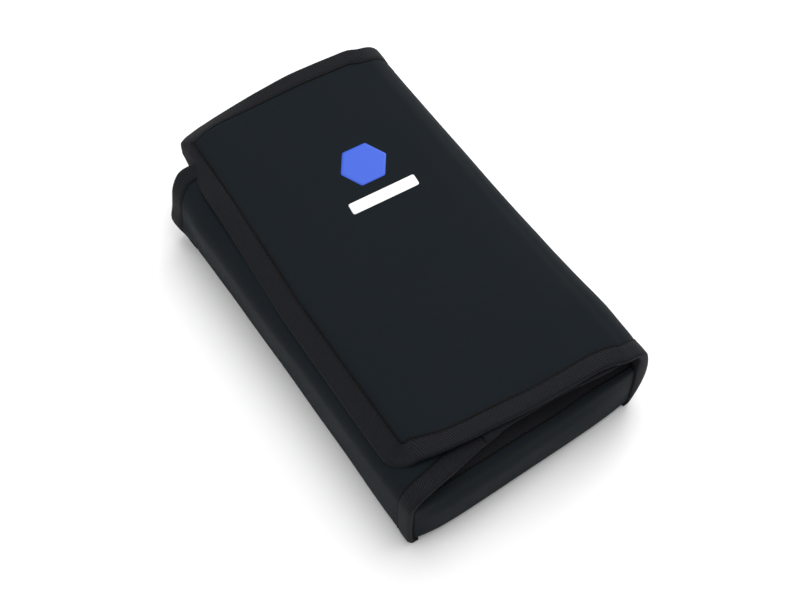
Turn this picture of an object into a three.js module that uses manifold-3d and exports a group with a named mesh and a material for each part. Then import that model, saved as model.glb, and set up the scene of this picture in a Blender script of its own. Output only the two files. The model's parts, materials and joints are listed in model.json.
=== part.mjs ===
// Precision screwdriver set in a folding fabric tool wallet.
// Millimetres. +X across the wallet towards the cover's fold, +Y along it towards
// the open far end, +Z up. The wallet stands closed on Z = 0, centred on the origin.
//
// Every panel is drawn lying open with its inner face up, in a group whose origin is
// its fold line, and the group is then turned to its folded angle.
import * as THREE from 'three';
import { mergeVertices } from 'three/addons/utils/BufferGeometryUtils.js';
import Module from 'manifold-3d';

// Driving dimensions
const GAP = 0.3; // clearance between pieces that touch
const WALLET_WIDTH = 158;
const WALLET_LENGTH = 252; // base panel, near end to far end
const PANEL = 3; // lining, stiffener and outer cloth together
const COVER_TOP = 66; // outer face of the cover at its fold
const COVER_SLOPE = 0.06; // fall of the cover per millimetre towards its free edge
const COVER_REACH = 152; // cover, fold to free edge
const COVER_SKEW = 15; // set-back of the cover's near corner
const COVER_CORNER = 14;
const COVER_NEAR_OVERHANG = 1; // cover past the base, at the near end of its fold
const COVER_OVERHANG = 12; // cover past the base at the far end
const COVER_CROWN = 10; // extra bow of the cover's far edge
const TUCK_REACH = 73; // tuck flap, fold to free edge
const TUCK_CORNER = 8;
const SMALLEST_CORNER = 1; // where the tape's inner edge turns a corner
const TUCK_GAP = 2; // between the cover's lining and the tuck flap
const END_FLAP_HEIGHT = 43;
const BINDING = 11; // binding tape seen on one face
const TONGUE = 1.2; // panel edge inside the tape
const FASTENER_WIDTH = 25; // hook and loop strips
const FASTENER_LENGTH = 180;
const FASTENER_THICKNESS = 1.1;
const FASTENER_INSET = 20; // strips, from the left wall
const WALL_STEP = 2 * GAP; // left wall below its fold's inner face
const COVER_WALL_STEP = 5 * GAP; // right wall, the same
const PRINT_TURN = 0.12; // radians
const PRINT_DEPTH = 0.6;
const BADGE_PLACE = [57.6, 57]; // from the cover's fold, and along Y
const BADGE_RADIUS = 15.4;
const BAR_PLACE = [60, 32];
const BAR_LENGTH = 44;
const BAR_WIDTH = 8;

const DRIVER_LENGTH = 200;
const BLADE_LENGTH = 75; // blade outside the handle
const BLADE_RADII = [1.5, 2, 2.5];
const BLADE_POINT = 5; // end of the narrowed tip
const BLADE_TAPER = 9; // from there the blade has its full thickness
const TIP_SHARE = 0.55; // of the blade's radius, at the tip
const POINT_SHARE = 0.7; // and at the end of the narrowed tip
const SOCKET_DEPTH = 15;
const HANDLE_RADIUS = 9;
const NOSE_RADIUS = 4.2;
const NOSE_ROUND = 1; // widening of the nose over its first millimetres
const NOSE_ROUND_LENGTH = 2;
const WAIST_RADIUS = 7.2;
const SHAFT_RADIUS = 8.6; // back half of the handle, and the cap
const GRIP_START = 14; // places along the handle, from its nose
const GRIP_END = 34;
const WAIST_START = 50;
const WAIST_END = 56;
const SHAFT_START = 68;
const CHAMFER = 1;
const PIN_RADIUS = 2; // the swivel cap turns on this pin
const PIN_LENGTH = 7;
const CAP_LENGTH = 14;
const CAP_ROUND = [[1.6, 1.2], [4, 0]]; // cap's end: steps inwards, and from the end
const CAP_SHOULDER = 4.5; // full cap radius up to here from its end
const DRIVER_PITCH = 22;
const REST_GAP = 0.7; // handle above its panel
// Each row: its first driver across the panel, and its blade tips from the base's near end.
const BASE_ROW = { first: -63, tip: 12 };
const FLAP_ROW = { first: -60, tip: 20 };
const COVER_ROW = { first: 23, tip: 24 };

const ELASTIC_THICKNESS = 1.1;
const ELASTIC_WIDTH = 20;
const ELASTIC_PLACE = 152; // from the blade tips
const ELASTIC_FOOT = 2; // sewn strip beside the outer drivers
const CHANNEL_RADIUS = 4.2; // stitched channel of a tip pocket
const POCKET_WALL = 1.2;
const POCKET_LENGTH = 58;
const POCKET_START = -5; // from the blade tips
const POCKET_FOOT = 3;

const CASE_WIDTH = 76;
const CASE_HEIGHT = 33;
const CASE_LENGTH = 150;
const CASE_WALL = 2;
const CASE_CENTRE = 35; // across the base
const CASE_INSET = 22; // from the base's far end
const STRAP_START = 60; // from the case's near end
const STRAP_WIDTH = 30;
const STRAP_FOOT = 0.8;
const TRAY_HEIGHT = 10;
const TRAY_WALL = 1.8;
const FINGER_RADIUS = 10; // finger notch in the tray's front
const FINGER_DEPTH = 6;
const RAIL_WIDTH = 12;
const RAIL_HEIGHT = 8;
const RAIL_PITCH = 22;
const BIT_RADIUS = 2.3; // hexagon bit, across corners
const BIT_STAND = 14; // bit above its rail
const BIT_BOTTOM = 1; // bit's lower end, inside its rail
const BITS_PER_RAIL = 8;
const RAIL_END_GAP = 1;

const SHAPE_STEPS = 5; // straight steps of a curve in a flat outline
const SECTION_STEPS = 12; // and in a cross-section
const EDGE_STEPS = 12; // along the cover's far edge
const HANDLE_SIDES = 20;
const BLADE_SIDES = 10;
const FINGER_SIDES = 24;
const OVERRUN = 1; // a cutting shape past the face that it cuts

// Worked out from the driving dimensions
const HALF_WIDTH = WALLET_WIDTH / 2;
const NEAR = (COVER_NEAR_OVERHANG - WALLET_LENGTH - COVER_OVERHANG - COVER_CROWN) / 2;
const FAR = NEAR + WALLET_LENGTH;
const SLOPE_ANGLE = Math.atan(COVER_SLOPE);
const TUCK_TOP = COVER_TOP - COVER_SLOPE * WALLET_WIDTH - PANEL - TUCK_GAP;
const QUARTER = Math.PI / 2;

const CLOTH = { color: 0x202528, roughness: 0.9, metalness: 0 };
const TAPE = { color: 0x242226, roughness: 0.85, metalness: 0 };
const ELASTIC = { color: 0x2a2a2c, roughness: 0.95, metalness: 0 };
const FASTENER = { color: 0x1a1a1c, roughness: 1, metalness: 0 };
const STEEL = { color: 0xb8babd, roughness: 0.3, metalness: 1 };
const HANDLE = { color: 0x2b2e31, roughness: 0.45, metalness: 0.6 };
const CAP = { color: 0x3d69e8, roughness: 0.4, metalness: 0.7 };
const CASE = { color: 0x303336, roughness: 0.55, metalness: 0 };
const TRAY = { color: 0x3a3d40, roughness: 0.5, metalness: 0 };
const BLUE = { color: 0x3d69e8, roughness: 0.6, metalness: 0 };
const WHITE = { color: 0xf0f0f0, roughness: 0.6, metalness: 0 };

const wasm = await Module();
wasm.setup();

// Joining and cutting

function toSolid(geometry) {
  const bare = geometry.clone();
  bare.deleteAttribute('normal');
  bare.deleteAttribute('uv');
  const merged = mergeVertices(bare, 1e-4);
  return new wasm.Manifold(new wasm.Mesh({
    numProp: 3,
    vertProperties: new Float32Array(merged.attributes.position.array),
    triVerts: new Uint32Array(merged.index.array),
  }));
}

function toGeometry(solid) {
  const mesh = solid.getMesh();
  const geometry = new THREE.BufferGeometry();
  geometry.setAttribute('position', new THREE.BufferAttribute(mesh.vertProperties, 3));
  geometry.setIndex(new THREE.BufferAttribute(mesh.triVerts, 1));
  geometry.computeVertexNormals();
  return geometry;
}

function join(...geometries) {
  return toGeometry(geometries.map(toSolid).reduce((sum, next) => sum.add(next)));
}

function cut(body, ...tools) {
  return toGeometry(tools.map(toSolid).reduce((rest, tool) => rest.subtract(tool), toSolid(body)));
}

// Basic shapes

function box(low, high) {
  const size = high.map((value, axis) => value - low[axis]);
  const centre = high.map((value, axis) => (value + low[axis]) / 2);
  return new THREE.BoxGeometry(...size).translate(...centre);
}

// A flat outline in XY, made solid from z = low to z = high.
function slab(outline, low, high) {
  const settings = { depth: high - low, bevelEnabled: false, curveSegments: SHAPE_STEPS };
  return new THREE.ExtrudeGeometry(outline, settings).translate(0, 0, low);
}

// A cross-section in XZ, made solid from y = start to y = end.
function prism(section, start, end) {
  const settings = { depth: end - start, bevelEnabled: false, curveSegments: SECTION_STEPS };
  const geometry = new THREE.ExtrudeGeometry(section, settings);
  return geometry.rotateX(QUARTER).translate(0, end, 0);
}

// A turned piece about the Y axis, from a list of [radius, y] pairs.
function turned(profile, segments) {
  const points = profile.map(([radius, y]) => new THREE.Vector2(radius, y));
  return new THREE.LatheGeometry(points, segments);
}

const wallet = new THREE.Group();

function addPiece(group, name, geometry, look) {
  const mesh = new THREE.Mesh(geometry, new THREE.MeshStandardMaterial(look));
  mesh.name = name;
  group.add(mesh);
  return mesh;
}

function addGroup(parent, position, rotation) {
  const group = new THREE.Group();
  group.position.set(...position);
  group.rotation.set(...rotation);
  parent.add(group);
  return group;
}

// Panels. An outline function gives the panel's edge moved in by `inset` on its
// taped sides, and moved out by `past` at its fold, where it has no tape.

function rectangle(left, right, near, far) {
  return new THREE.Shape([
    new THREE.Vector2(left, near),
    new THREE.Vector2(right, near),
    new THREE.Vector2(right, far),
    new THREE.Vector2(left, far),
  ]);
}

// The cloth of a taped panel: full thickness inside the tape, a thin tongue under it.
function tapedCloth(outline) {
  const middle = PANEL / 2;
  const body = slab(outline(BINDING, 0), 0, PANEL);
  const tongue = slab(outline(TONGUE, 0), middle - TONGUE / 2, middle + TONGUE / 2);
  return join(body, tongue);
}

// The folded tape round the taped sides, with a groove for the tongue.
function bindingTape(outline) {
  const middle = PANEL / 2;
  const groove = TONGUE / 2 + GAP;
  const inside = slab(outline(BINDING - GAP, OVERRUN), -OVERRUN, PANEL + OVERRUN);
  const slot = slab(outline(TONGUE - GAP, OVERRUN), middle - groove, middle + groove);
  return cut(slab(outline(0, 0), 0, PANEL), inside, slot);
}

function wallOutline(low, high, side) {
  return (near, far) => (
    side > 0 ? rectangle(low, high, near, far) : rectangle(-high, -low, near, far)
  );
}

// A side wall, taped at its near and far ends.
function addSideWall(group, name, side, height) {
  const across = wallOutline(PANEL + GAP, height, side);
  const body = slab(across(NEAR + BINDING, FAR - BINDING), 0, PANEL);
  const middle = PANEL / 2;
  const tongue = slab(across(NEAR + TONGUE, FAR - TONGUE), middle - TONGUE / 2, middle + TONGUE / 2);
  addPiece(group, name, join(body, tongue), CLOTH);
  const wide = wallOutline(PANEL + GAP - OVERRUN, height + OVERRUN, side);
  const groove = TONGUE / 2 + GAP;
  const grooved = wide(NEAR + TONGUE - GAP, FAR - TONGUE + GAP);
  const slot = slab(grooved, middle - groove, middle + groove);
  const nearTape = slab(across(NEAR, NEAR + BINDING - GAP), 0, PANEL);
  const farTape = slab(across(FAR - BINDING + GAP, FAR), 0, PANEL);
  addPiece(group, `${name}_near_tape`, cut(nearTape, slot), TAPE);
  addPiece(group, `${name}_far_tape`, cut(farTape, slot), TAPE);
}

function baseOutline(inset, past) {
  return rectangle(-HALF_WIDTH - past, HALF_WIDTH + past, NEAR - past, FAR - inset);
}

function endFlapOutline(inset, past) {
  const half = HALF_WIDTH - PANEL - 2 * GAP;
  return rectangle(-half - past, half + past, inset - END_FLAP_HEIGHT, past - PANEL - GAP);
}

function tuckFlapOutline(inset, past) {
  const free = inset - TUCK_REACH;
  const near = NEAR + inset;
  const far = FAR - inset;
  const corner = Math.max(TUCK_CORNER - inset, SMALLEST_CORNER);
  const outline = new THREE.Shape();
  outline.moveTo(past, near);
  outline.lineTo(past, far);
  outline.lineTo(free + corner, far);
  outline.quadraticCurveTo(free, far, free, far - corner);
  outline.lineTo(free, near + corner);
  outline.quadraticCurveTo(free, near, free + corner, near);
  return outline;
}

function coverNearEdge(across) {
  return NEAR - COVER_NEAR_OVERHANG + COVER_SKEW * (across / COVER_REACH);
}

function coverFarEdge(across) {
  const share = THREE.MathUtils.clamp(across / COVER_REACH, 0, 1);
  return FAR + COVER_OVERHANG + COVER_CROWN * Math.sin(Math.PI * share);
}

function coverOutline(inset, past) {
  const free = COVER_REACH - inset;
  const corner = Math.max(COVER_CORNER - inset, SMALLEST_CORNER);
  const near = coverNearEdge(free) + inset;
  const outline = new THREE.Shape();
  outline.moveTo(GAP - past, coverNearEdge(0) + inset);
  outline.lineTo(free - corner, coverNearEdge(free - corner) + inset);
  outline.quadraticCurveTo(free, near, free, near + corner);
  for (let step = 0; step < EDGE_STEPS; step += 1) {
    const across = free * (1 - step / EDGE_STEPS);
    outline.lineTo(across, coverFarEdge(across) - inset);
  }
  outline.lineTo(GAP - past, coverFarEdge(0) - inset);
  return outline;
}

// Screwdrivers, lying along Y with the tip at y = 0 and the swivel cap at the far end.

function handleGeometry(bladeRadius) {
  const socket = bladeRadius + GAP;
  const front = BLADE_LENGTH;
  const back = DRIVER_LENGTH - CAP_LENGTH;
  return turned([
    [0, front + SOCKET_DEPTH],
    [socket, front + SOCKET_DEPTH],
    [socket, front],
    [NOSE_RADIUS, front],
    [NOSE_RADIUS + NOSE_ROUND, front + NOSE_ROUND_LENGTH],
    [HANDLE_RADIUS, front + GRIP_START],
    [HANDLE_RADIUS, front + GRIP_END],
    [WAIST_RADIUS, front + WAIST_START],
    [WAIST_RADIUS, front + WAIST_END],
    [SHAFT_RADIUS, front + SHAFT_START],
    [SHAFT_RADIUS, back - CHAMFER],
    [SHAFT_RADIUS - CHAMFER, back],
    [PIN_RADIUS, back],
    [PIN_RADIUS, back + PIN_LENGTH],
    [0, back + PIN_LENGTH],
  ], HANDLE_SIDES);
}

function capGeometry() {
  const front = DRIVER_LENGTH - CAP_LENGTH + GAP;
  const bore = PIN_RADIUS + GAP;
  const boreEnd = front + PIN_LENGTH + GAP;
  return turned([
    [0, boreEnd],
    [bore, boreEnd],
    [bore, front],
    [SHAFT_RADIUS - CHAMFER, front],
    [SHAFT_RADIUS, front + CHAMFER],
    [SHAFT_RADIUS, DRIVER_LENGTH - CAP_SHOULDER],
    ...CAP_ROUND.map(([inwards, back]) => [SHAFT_RADIUS - inwards, DRIVER_LENGTH - back]),
    [0, DRIVER_LENGTH],
  ], HANDLE_SIDES);
}

function bladeGeometry(radius) {
  const back = BLADE_LENGTH + SOCKET_DEPTH - GAP;
  return turned([
    [0, 0],
    [radius * TIP_SHARE, 0],
    [radius * POINT_SHARE, BLADE_POINT],
    [radius, BLADE_TAPER],
    [radius, back],
    [0, back],
  ], BLADE_SIDES);
}

function addDriver(group, name, place, bladeRadius) {
  const driver = addGroup(group, place, [0, 0, 0]);
  addPiece(driver, `${name}_handle`, handleGeometry(bladeRadius), HANDLE);
  addPiece(driver, `${name}_cap`, capGeometry(), CAP);
  addPiece(driver, `${name}_blade`, bladeGeometry(bladeRadius), STEEL);
}

// Cloth that lies on its panel and rises over each driver, as a section in XZ.

function traceHumps(outline, centres, height, radius, foot, forward) {
  const order = forward ? centres : [...centres].reverse();
  const side = forward ? 1 : -1;
  for (const centre of order) {
    outline.lineTo(centre - side * radius, foot);
    outline.absarc(centre, height, radius, forward ? Math.PI : 0, forward ? 0 : Math.PI, forward);
    outline.lineTo(centre + side * radius, foot);
  }
}

function elasticSection(centres, height) {
  const inner = HANDLE_RADIUS + GAP;
  const outer = inner + ELASTIC_THICKNESS;
  const foot = PANEL + GAP;
  const margin = outer + ELASTIC_FOOT;
  const left = centres[0] - margin;
  const right = centres[centres.length - 1] + margin;
  const section = new THREE.Shape();
  section.moveTo(left, foot);
  section.lineTo(left, foot + ELASTIC_THICKNESS);
  traceHumps(section, centres, height, outer, foot + ELASTIC_THICKNESS, true);
  section.lineTo(right, foot + ELASTIC_THICKNESS);
  section.lineTo(right, foot);
  traceHumps(section, centres, height, inner, foot, false);
  return section;
}

function pocketSection(centres, height) {
  const outer = CHANNEL_RADIUS + POCKET_WALL;
  const foot = PANEL + GAP;
  const margin = outer + POCKET_FOOT;
  const left = centres[0] - margin;
  const right = centres[centres.length - 1] + margin;
  const section = new THREE.Shape();
  section.moveTo(left, foot);
  section.lineTo(left, foot + POCKET_WALL);
  traceHumps(section, centres, height, outer, foot + POCKET_WALL, true);
  section.lineTo(right, foot + POCKET_WALL);
  section.lineTo(right, foot);
  for (const centre of centres) {
    section.holes.push(new THREE.Path().absarc(centre, height, CHANNEL_RADIUS, 0, 2 * Math.PI, false));
  }
  return section;
}

// A row of drivers on a panel's inner face, with their tip pocket and elastic.
function addDriverRow(group, name, row) {
  const height = PANEL + REST_GAP + HANDLE_RADIUS;
  const tip = NEAR + row.tip;
  const centres = BLADE_RADII.map((radius, index) => row.first + index * DRIVER_PITCH);
  const pocketStart = tip + POCKET_START;
  const elasticStart = tip + ELASTIC_PLACE;
  const pocket = prism(pocketSection(centres, height), pocketStart, pocketStart + POCKET_LENGTH);
  const elastic = prism(elasticSection(centres, height), elasticStart, elasticStart + ELASTIC_WIDTH);
  addPiece(group, `${name}_tip_pocket`, pocket, CLOTH);
  addPiece(group, `${name}_elastic`, elastic, ELASTIC);
  BLADE_RADII.forEach((radius, index) => {
    addDriver(group, `${name}_driver_${index + 1}`, [centres[index], tip, height], radius);
  });
}

// Bit case: a sleeve open at its far end, and a tray with rails of bits.

function sleeveGeometry() {
  const half = CASE_WIDTH / 2;
  const inner = half - CASE_WALL;
  const outside = box([-half, 0, 0], [half, CASE_LENGTH, CASE_HEIGHT]);
  const hollow = box(
    [-inner, CASE_WALL, CASE_WALL],
    [inner, CASE_LENGTH + OVERRUN, CASE_HEIGHT - CASE_WALL],
  );
  return cut(outside, hollow);
}

function trayGeometry() {
  const half = CASE_WIDTH / 2 - CASE_WALL - GAP;
  const floor = CASE_WALL + GAP;
  const back = CASE_WALL + GAP;
  const body = box([-half, back, floor], [half, CASE_LENGTH, floor + TRAY_HEIGHT]);
  const top = CASE_HEIGHT - CASE_WALL;
  const front = box([-half, CASE_LENGTH - TRAY_WALL, floor], [half, CASE_LENGTH, top - GAP]);
  const hollow = box(
    [TRAY_WALL - half, back + TRAY_WALL, floor + TRAY_WALL],
    [half - TRAY_WALL, CASE_LENGTH - TRAY_WALL, CASE_HEIGHT],
  );
  const finger = new THREE.CylinderGeometry(FINGER_RADIUS, FINGER_RADIUS, FINGER_DEPTH, FINGER_SIDES);
  finger.translate(0, CASE_LENGTH, top);
  return cut(join(body, front), hollow, finger);
}

function railGeometry(length) {
  const bitLength = RAIL_HEIGHT + BIT_STAND - BIT_BOTTOM;
  const spacing = length / BITS_PER_RAIL;
  const pieces = [box([-RAIL_WIDTH / 2, 0, 0], [RAIL_WIDTH / 2, length, RAIL_HEIGHT])];
  for (let index = 0; index < BITS_PER_RAIL; index += 1) {
    const bit = new THREE.CylinderGeometry(BIT_RADIUS, BIT_RADIUS, bitLength, 6);
    bit.rotateX(QUARTER).translate(0, spacing * (index + 0.5), BIT_BOTTOM + bitLength / 2);
    pieces.push(bit);
  }
  return join(...pieces);
}

function addBitCase(group) {
  const start = FAR - CASE_INSET - CASE_LENGTH;
  const bitCase = addGroup(group, [CASE_CENTRE, start, PANEL + GAP], [0, 0, 0]);
  addPiece(bitCase, 'bit_case_sleeve', sleeveGeometry(), CASE);
  addPiece(bitCase, 'bit_tray', trayGeometry(), TRAY);
  const railStart = CASE_WALL + TRAY_WALL + RAIL_END_GAP;
  const railLength = CASE_LENGTH - 2 * railStart;
  for (const side of [-1, 0, 1]) {
    const seat = [side * RAIL_PITCH, railStart, CASE_WALL + TRAY_WALL + 2 * GAP];
    const rail = addGroup(bitCase, seat, [0, 0, 0]);
    addPiece(rail, `bit_rail_${side + 2}`, railGeometry(railLength), STEEL);
  }
  const strapStart = start + STRAP_START;
  const strap = prism(strapSection(), strapStart, strapStart + STRAP_WIDTH);
  addPiece(group, 'bit_case_strap', strap, ELASTIC);
}

function strapSection() {
  const foot = PANEL + GAP;
  const inner = CASE_WIDTH / 2 + GAP;
  const outer = inner + ELASTIC_THICKNESS;
  const top = foot + CASE_HEIGHT + GAP;
  const left = CASE_CENTRE - outer - STRAP_FOOT;
  const right = CASE_CENTRE + outer + STRAP_FOOT;
  return new THREE.Shape([
    new THREE.Vector2(left, foot),
    new THREE.Vector2(CASE_CENTRE - inner, foot),
    new THREE.Vector2(CASE_CENTRE - inner, top),
    new THREE.Vector2(CASE_CENTRE + inner, top),
    new THREE.Vector2(CASE_CENTRE + inner, foot),
    new THREE.Vector2(right, foot),
    new THREE.Vector2(right, foot + ELASTIC_THICKNESS),
    new THREE.Vector2(CASE_CENTRE + outer, foot + ELASTIC_THICKNESS),
    new THREE.Vector2(CASE_CENTRE + outer, top + ELASTIC_THICKNESS),
    new THREE.Vector2(CASE_CENTRE - outer, top + ELASTIC_THICKNESS),
    new THREE.Vector2(CASE_CENTRE - outer, foot + ELASTIC_THICKNESS),
    new THREE.Vector2(left, foot + ELASTIC_THICKNESS),
  ]);
}

// The wallet's parts

function addBase() {
  addPiece(wallet, 'base_panel', tapedCloth(baseOutline), CLOTH);
  addPiece(wallet, 'base_far_tape', bindingTape(baseOutline), TAPE);
  addDriverRow(wallet, 'base', BASE_ROW);
  addBitCase(wallet);
}

function addEndFlap() {
  const flap = addGroup(wallet, [0, NEAR, 0], [-QUARTER, 0, 0]);
  addPiece(flap, 'end_flap', tapedCloth(endFlapOutline), CLOTH);
  addPiece(flap, 'end_flap_tape', bindingTape(endFlapOutline), TAPE);
}

// A hook or loop strip's outline between two distances across a panel, grown by `margin`.
function stripOutline(from, to, margin) {
  const half = FASTENER_LENGTH / 2 + margin;
  return rectangle(from - margin, to + margin, -half, half);
}

function addLeftSide() {
  const wall = addGroup(wallet, [-HALF_WIDTH, 0, 0], [0, QUARTER, 0]);
  addSideWall(wall, 'left_wall', -1, TUCK_TOP - PANEL - WALL_STEP);
  const flap = addGroup(wall, [-TUCK_TOP, 0, 0], [0, QUARTER - SLOPE_ANGLE, 0]);
  const from = -FASTENER_INSET - FASTENER_WIDTH;
  const seat = slab(stripOutline(from, -FASTENER_INSET, GAP), -OVERRUN, FASTENER_THICKNESS + GAP);
  const strip = slab(stripOutline(from, -FASTENER_INSET, 0), 0, FASTENER_THICKNESS);
  addPiece(flap, 'tuck_flap', cut(tapedCloth(tuckFlapOutline), seat), CLOTH);
  addPiece(flap, 'tuck_flap_tape', bindingTape(tuckFlapOutline), TAPE);
  addPiece(flap, 'loop_strip', strip, FASTENER);
  addDriverRow(flap, 'flap', FLAP_ROW);
}

// The printed marks are flush inlays in the cover's outer face.

function hexagon(radius) {
  const corners = Array.from({ length: 6 }, (_, index) => {
    const angle = (index * Math.PI) / 3;
    return new THREE.Vector2(radius * Math.cos(angle), radius * Math.sin(angle));
  });
  return new THREE.Shape(corners);
}

function bar(length, width) {
  return rectangle(-length / 2, length / 2, -width / 2, width / 2);
}

function addPrint(cover, name, place, mark, look) {
  const print = addGroup(cover, [...place, 0], [0, 0, PRINT_TURN]);
  addPiece(print, name, slab(mark, 0, PRINT_DEPTH), look);
}

function printRecess(place, mark) {
  return slab(mark, -OVERRUN, PRINT_DEPTH + GAP).rotateZ(PRINT_TURN).translate(...place, 0);
}

function addRightSide() {
  const wall = addGroup(wallet, [HALF_WIDTH, 0, 0], [0, -QUARTER, 0]);
  addSideWall(wall, 'right_wall', 1, COVER_TOP - PANEL - COVER_WALL_STEP);
  const cover = addGroup(wall, [COVER_TOP, 0, 0], [0, -QUARTER - SLOPE_ANGLE, 0]);
  const cloth = cut(
    tapedCloth(coverOutline),
    printRecess(BADGE_PLACE, hexagon(BADGE_RADIUS + GAP)),
    printRecess(BAR_PLACE, bar(BAR_LENGTH + 2 * GAP, BAR_WIDTH + 2 * GAP)),
  );
  addPiece(cover, 'cover', cloth, CLOTH);
  addPiece(cover, 'cover_tape', bindingTape(coverOutline), TAPE);
  addPrint(cover, 'badge_hexagon', BADGE_PLACE, hexagon(BADGE_RADIUS), BLUE);
  addPrint(cover, 'badge_bar', BAR_PLACE, bar(BAR_LENGTH, BAR_WIDTH), WHITE);
  const to = WALLET_WIDTH - FASTENER_INSET;
  const strip = stripOutline(to - FASTENER_WIDTH, to, 0);
  addPiece(cover, 'hook_strip', slab(strip, PANEL + GAP, PANEL + GAP + FASTENER_THICKNESS), FASTENER);
  addDriverRow(cover, 'cover', COVER_ROW);
}

addBase();
addEndFlap();
addLeftSide();
addRightSide();

export default wallet;
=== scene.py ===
"""The looks of a precision screwdriver set in a folding fabric tool wallet.

Lengths are in metres, in the CAD model's frame: +X across the wallet towards the
cover's fold, +Y along it towards the open far end, +Z up. MM turns millimetres into
metres. Each panel of cloth is a cross-section curve carried along Y, and everything
sewn to or printed on a panel is placed on that same surface.
"""
import json
import math

import bmesh
import bpy
import numpy as np
from mathutils import Matrix, Vector


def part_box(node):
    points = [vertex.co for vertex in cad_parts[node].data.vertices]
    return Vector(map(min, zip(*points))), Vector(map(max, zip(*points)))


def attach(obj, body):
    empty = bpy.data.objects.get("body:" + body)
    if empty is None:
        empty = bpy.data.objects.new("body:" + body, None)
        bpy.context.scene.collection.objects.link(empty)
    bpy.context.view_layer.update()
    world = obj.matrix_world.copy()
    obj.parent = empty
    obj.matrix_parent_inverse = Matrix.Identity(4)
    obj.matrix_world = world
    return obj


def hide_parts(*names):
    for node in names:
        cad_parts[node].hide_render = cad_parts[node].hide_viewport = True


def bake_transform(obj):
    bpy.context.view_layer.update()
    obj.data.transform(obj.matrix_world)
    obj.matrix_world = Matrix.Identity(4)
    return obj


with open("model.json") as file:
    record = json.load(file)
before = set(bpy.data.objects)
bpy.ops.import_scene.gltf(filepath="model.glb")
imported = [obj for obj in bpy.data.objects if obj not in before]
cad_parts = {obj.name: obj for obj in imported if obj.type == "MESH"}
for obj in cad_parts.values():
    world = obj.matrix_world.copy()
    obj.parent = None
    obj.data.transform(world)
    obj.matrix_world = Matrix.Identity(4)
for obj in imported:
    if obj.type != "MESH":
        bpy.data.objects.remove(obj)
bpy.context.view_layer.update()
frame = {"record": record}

MM = 0.001
PANEL = 3.0 * MM
TAPE_WIDTH = 11.0 * MM
STITCH_PITCH = 3.2 * MM
STITCH_LENGTH = 2.4 * MM
THREAD_RADIUS = 0.24 * MM
STITCH_INSET = 1.7 * MM
FOOT_RADIUS = 5.0 * MM  # outer radius of the folds at the base
COVER_FOLD_RADIUS = 12.0 * MM
SHOULDER_RADIUS = 12.0 * MM


# The CAD sizes that the cloth is built from

def low(node):
    return np.array(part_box(node)[0])


def high(node):
    return np.array(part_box(node)[1])


def middle(node):
    return (low(node) + high(node)) / 2


def joint(name):
    return next(j for j in frame["record"]["behaviour"]["joints"] if j["name"] == name)


HALF_WIDTH = joint("unfold")["pos_m"][0]
COVER_TOP = joint("cover_fold")["pos_m"][2]
TUCK_TOP = joint("tuck_flap_fold")["pos_m"][2]
SLOPE = math.radians(joint("cover_fold")["range_deg"][1] - 90)
NEAR = low("base_panel")[1]
FAR = high("base_far_tape")[1]
LENGTH = FAR - NEAR


# Meshes

def face_outward(mesh):
    """Turn each closed body of the mesh to face outward."""
    work = bmesh.new()
    work.from_mesh(mesh)
    bmesh.ops.recalc_face_normals(work, faces=work.faces)
    work.to_mesh(mesh)
    work.free()


def make_mesh(name, points, faces, materials, face_materials=None, uvs=None):
    mesh = bpy.data.meshes.new(name)
    mesh.from_pydata([tuple(p) for p in np.asarray(points, float)], [], [tuple(f) for f in faces])
    for material in materials if isinstance(materials, (list, tuple)) else [materials]:
        mesh.materials.append(material)
    if face_materials is not None:
        mesh.polygons.foreach_set("material_index", np.asarray(face_materials, np.int32))
    if uvs is not None:
        corner_points = np.zeros(len(mesh.loops), np.int32)
        mesh.loops.foreach_get("vertex_index", corner_points)
        layer = mesh.uv_layers.new(name="UVMap")
        layer.data.foreach_set("uv", np.asarray(uvs, np.float32)[corner_points].ravel())
    mesh.polygons.foreach_set("use_smooth", np.ones(len(mesh.polygons), bool))
    mesh.update()
    face_outward(mesh)
    piece = bpy.data.objects.new(name, mesh)
    bpy.context.scene.collection.objects.link(piece)
    return piece


def grid_faces(rows, columns, start=0, wrap_columns=False):
    faces = []
    for i in range(rows - 1):
        for j in range(columns if wrap_columns else columns - 1):
            a, b = start + i * columns + j, start + i * columns + (j + 1) % columns
            faces.append((a, b, b + columns, a + columns))
    return faces


def solid_from_grids(name, top, bottom, materials, top_uv, bottom_material=0):
    """A closed piece between two grids of points of the same shape."""
    rows, columns = top.shape[:2]
    count = rows * columns
    faces = grid_faces(rows, columns) + grid_faces(rows, columns, count)
    kinds = [0] * (len(faces) // 2) + [bottom_material] * (len(faces) // 2)
    rim = [i * columns for i in range(rows)]
    rim += [(rows - 1) * columns + j for j in range(1, columns)]
    rim += [i * columns + columns - 1 for i in range(rows - 2, -1, -1)]
    rim += [j for j in range(columns - 2, 0, -1)]
    for a, b in zip(rim, rim[1:] + rim[:1]):
        faces.append((a, b, b + count, a + count))
        kinds.append(0)
    points = np.concatenate([top.reshape(-1, 3), bottom.reshape(-1, 3)])
    uv = np.concatenate([top_uv.reshape(-1, 2)] * 2)
    return make_mesh(name, points, faces, materials, kinds, uv)


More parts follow.
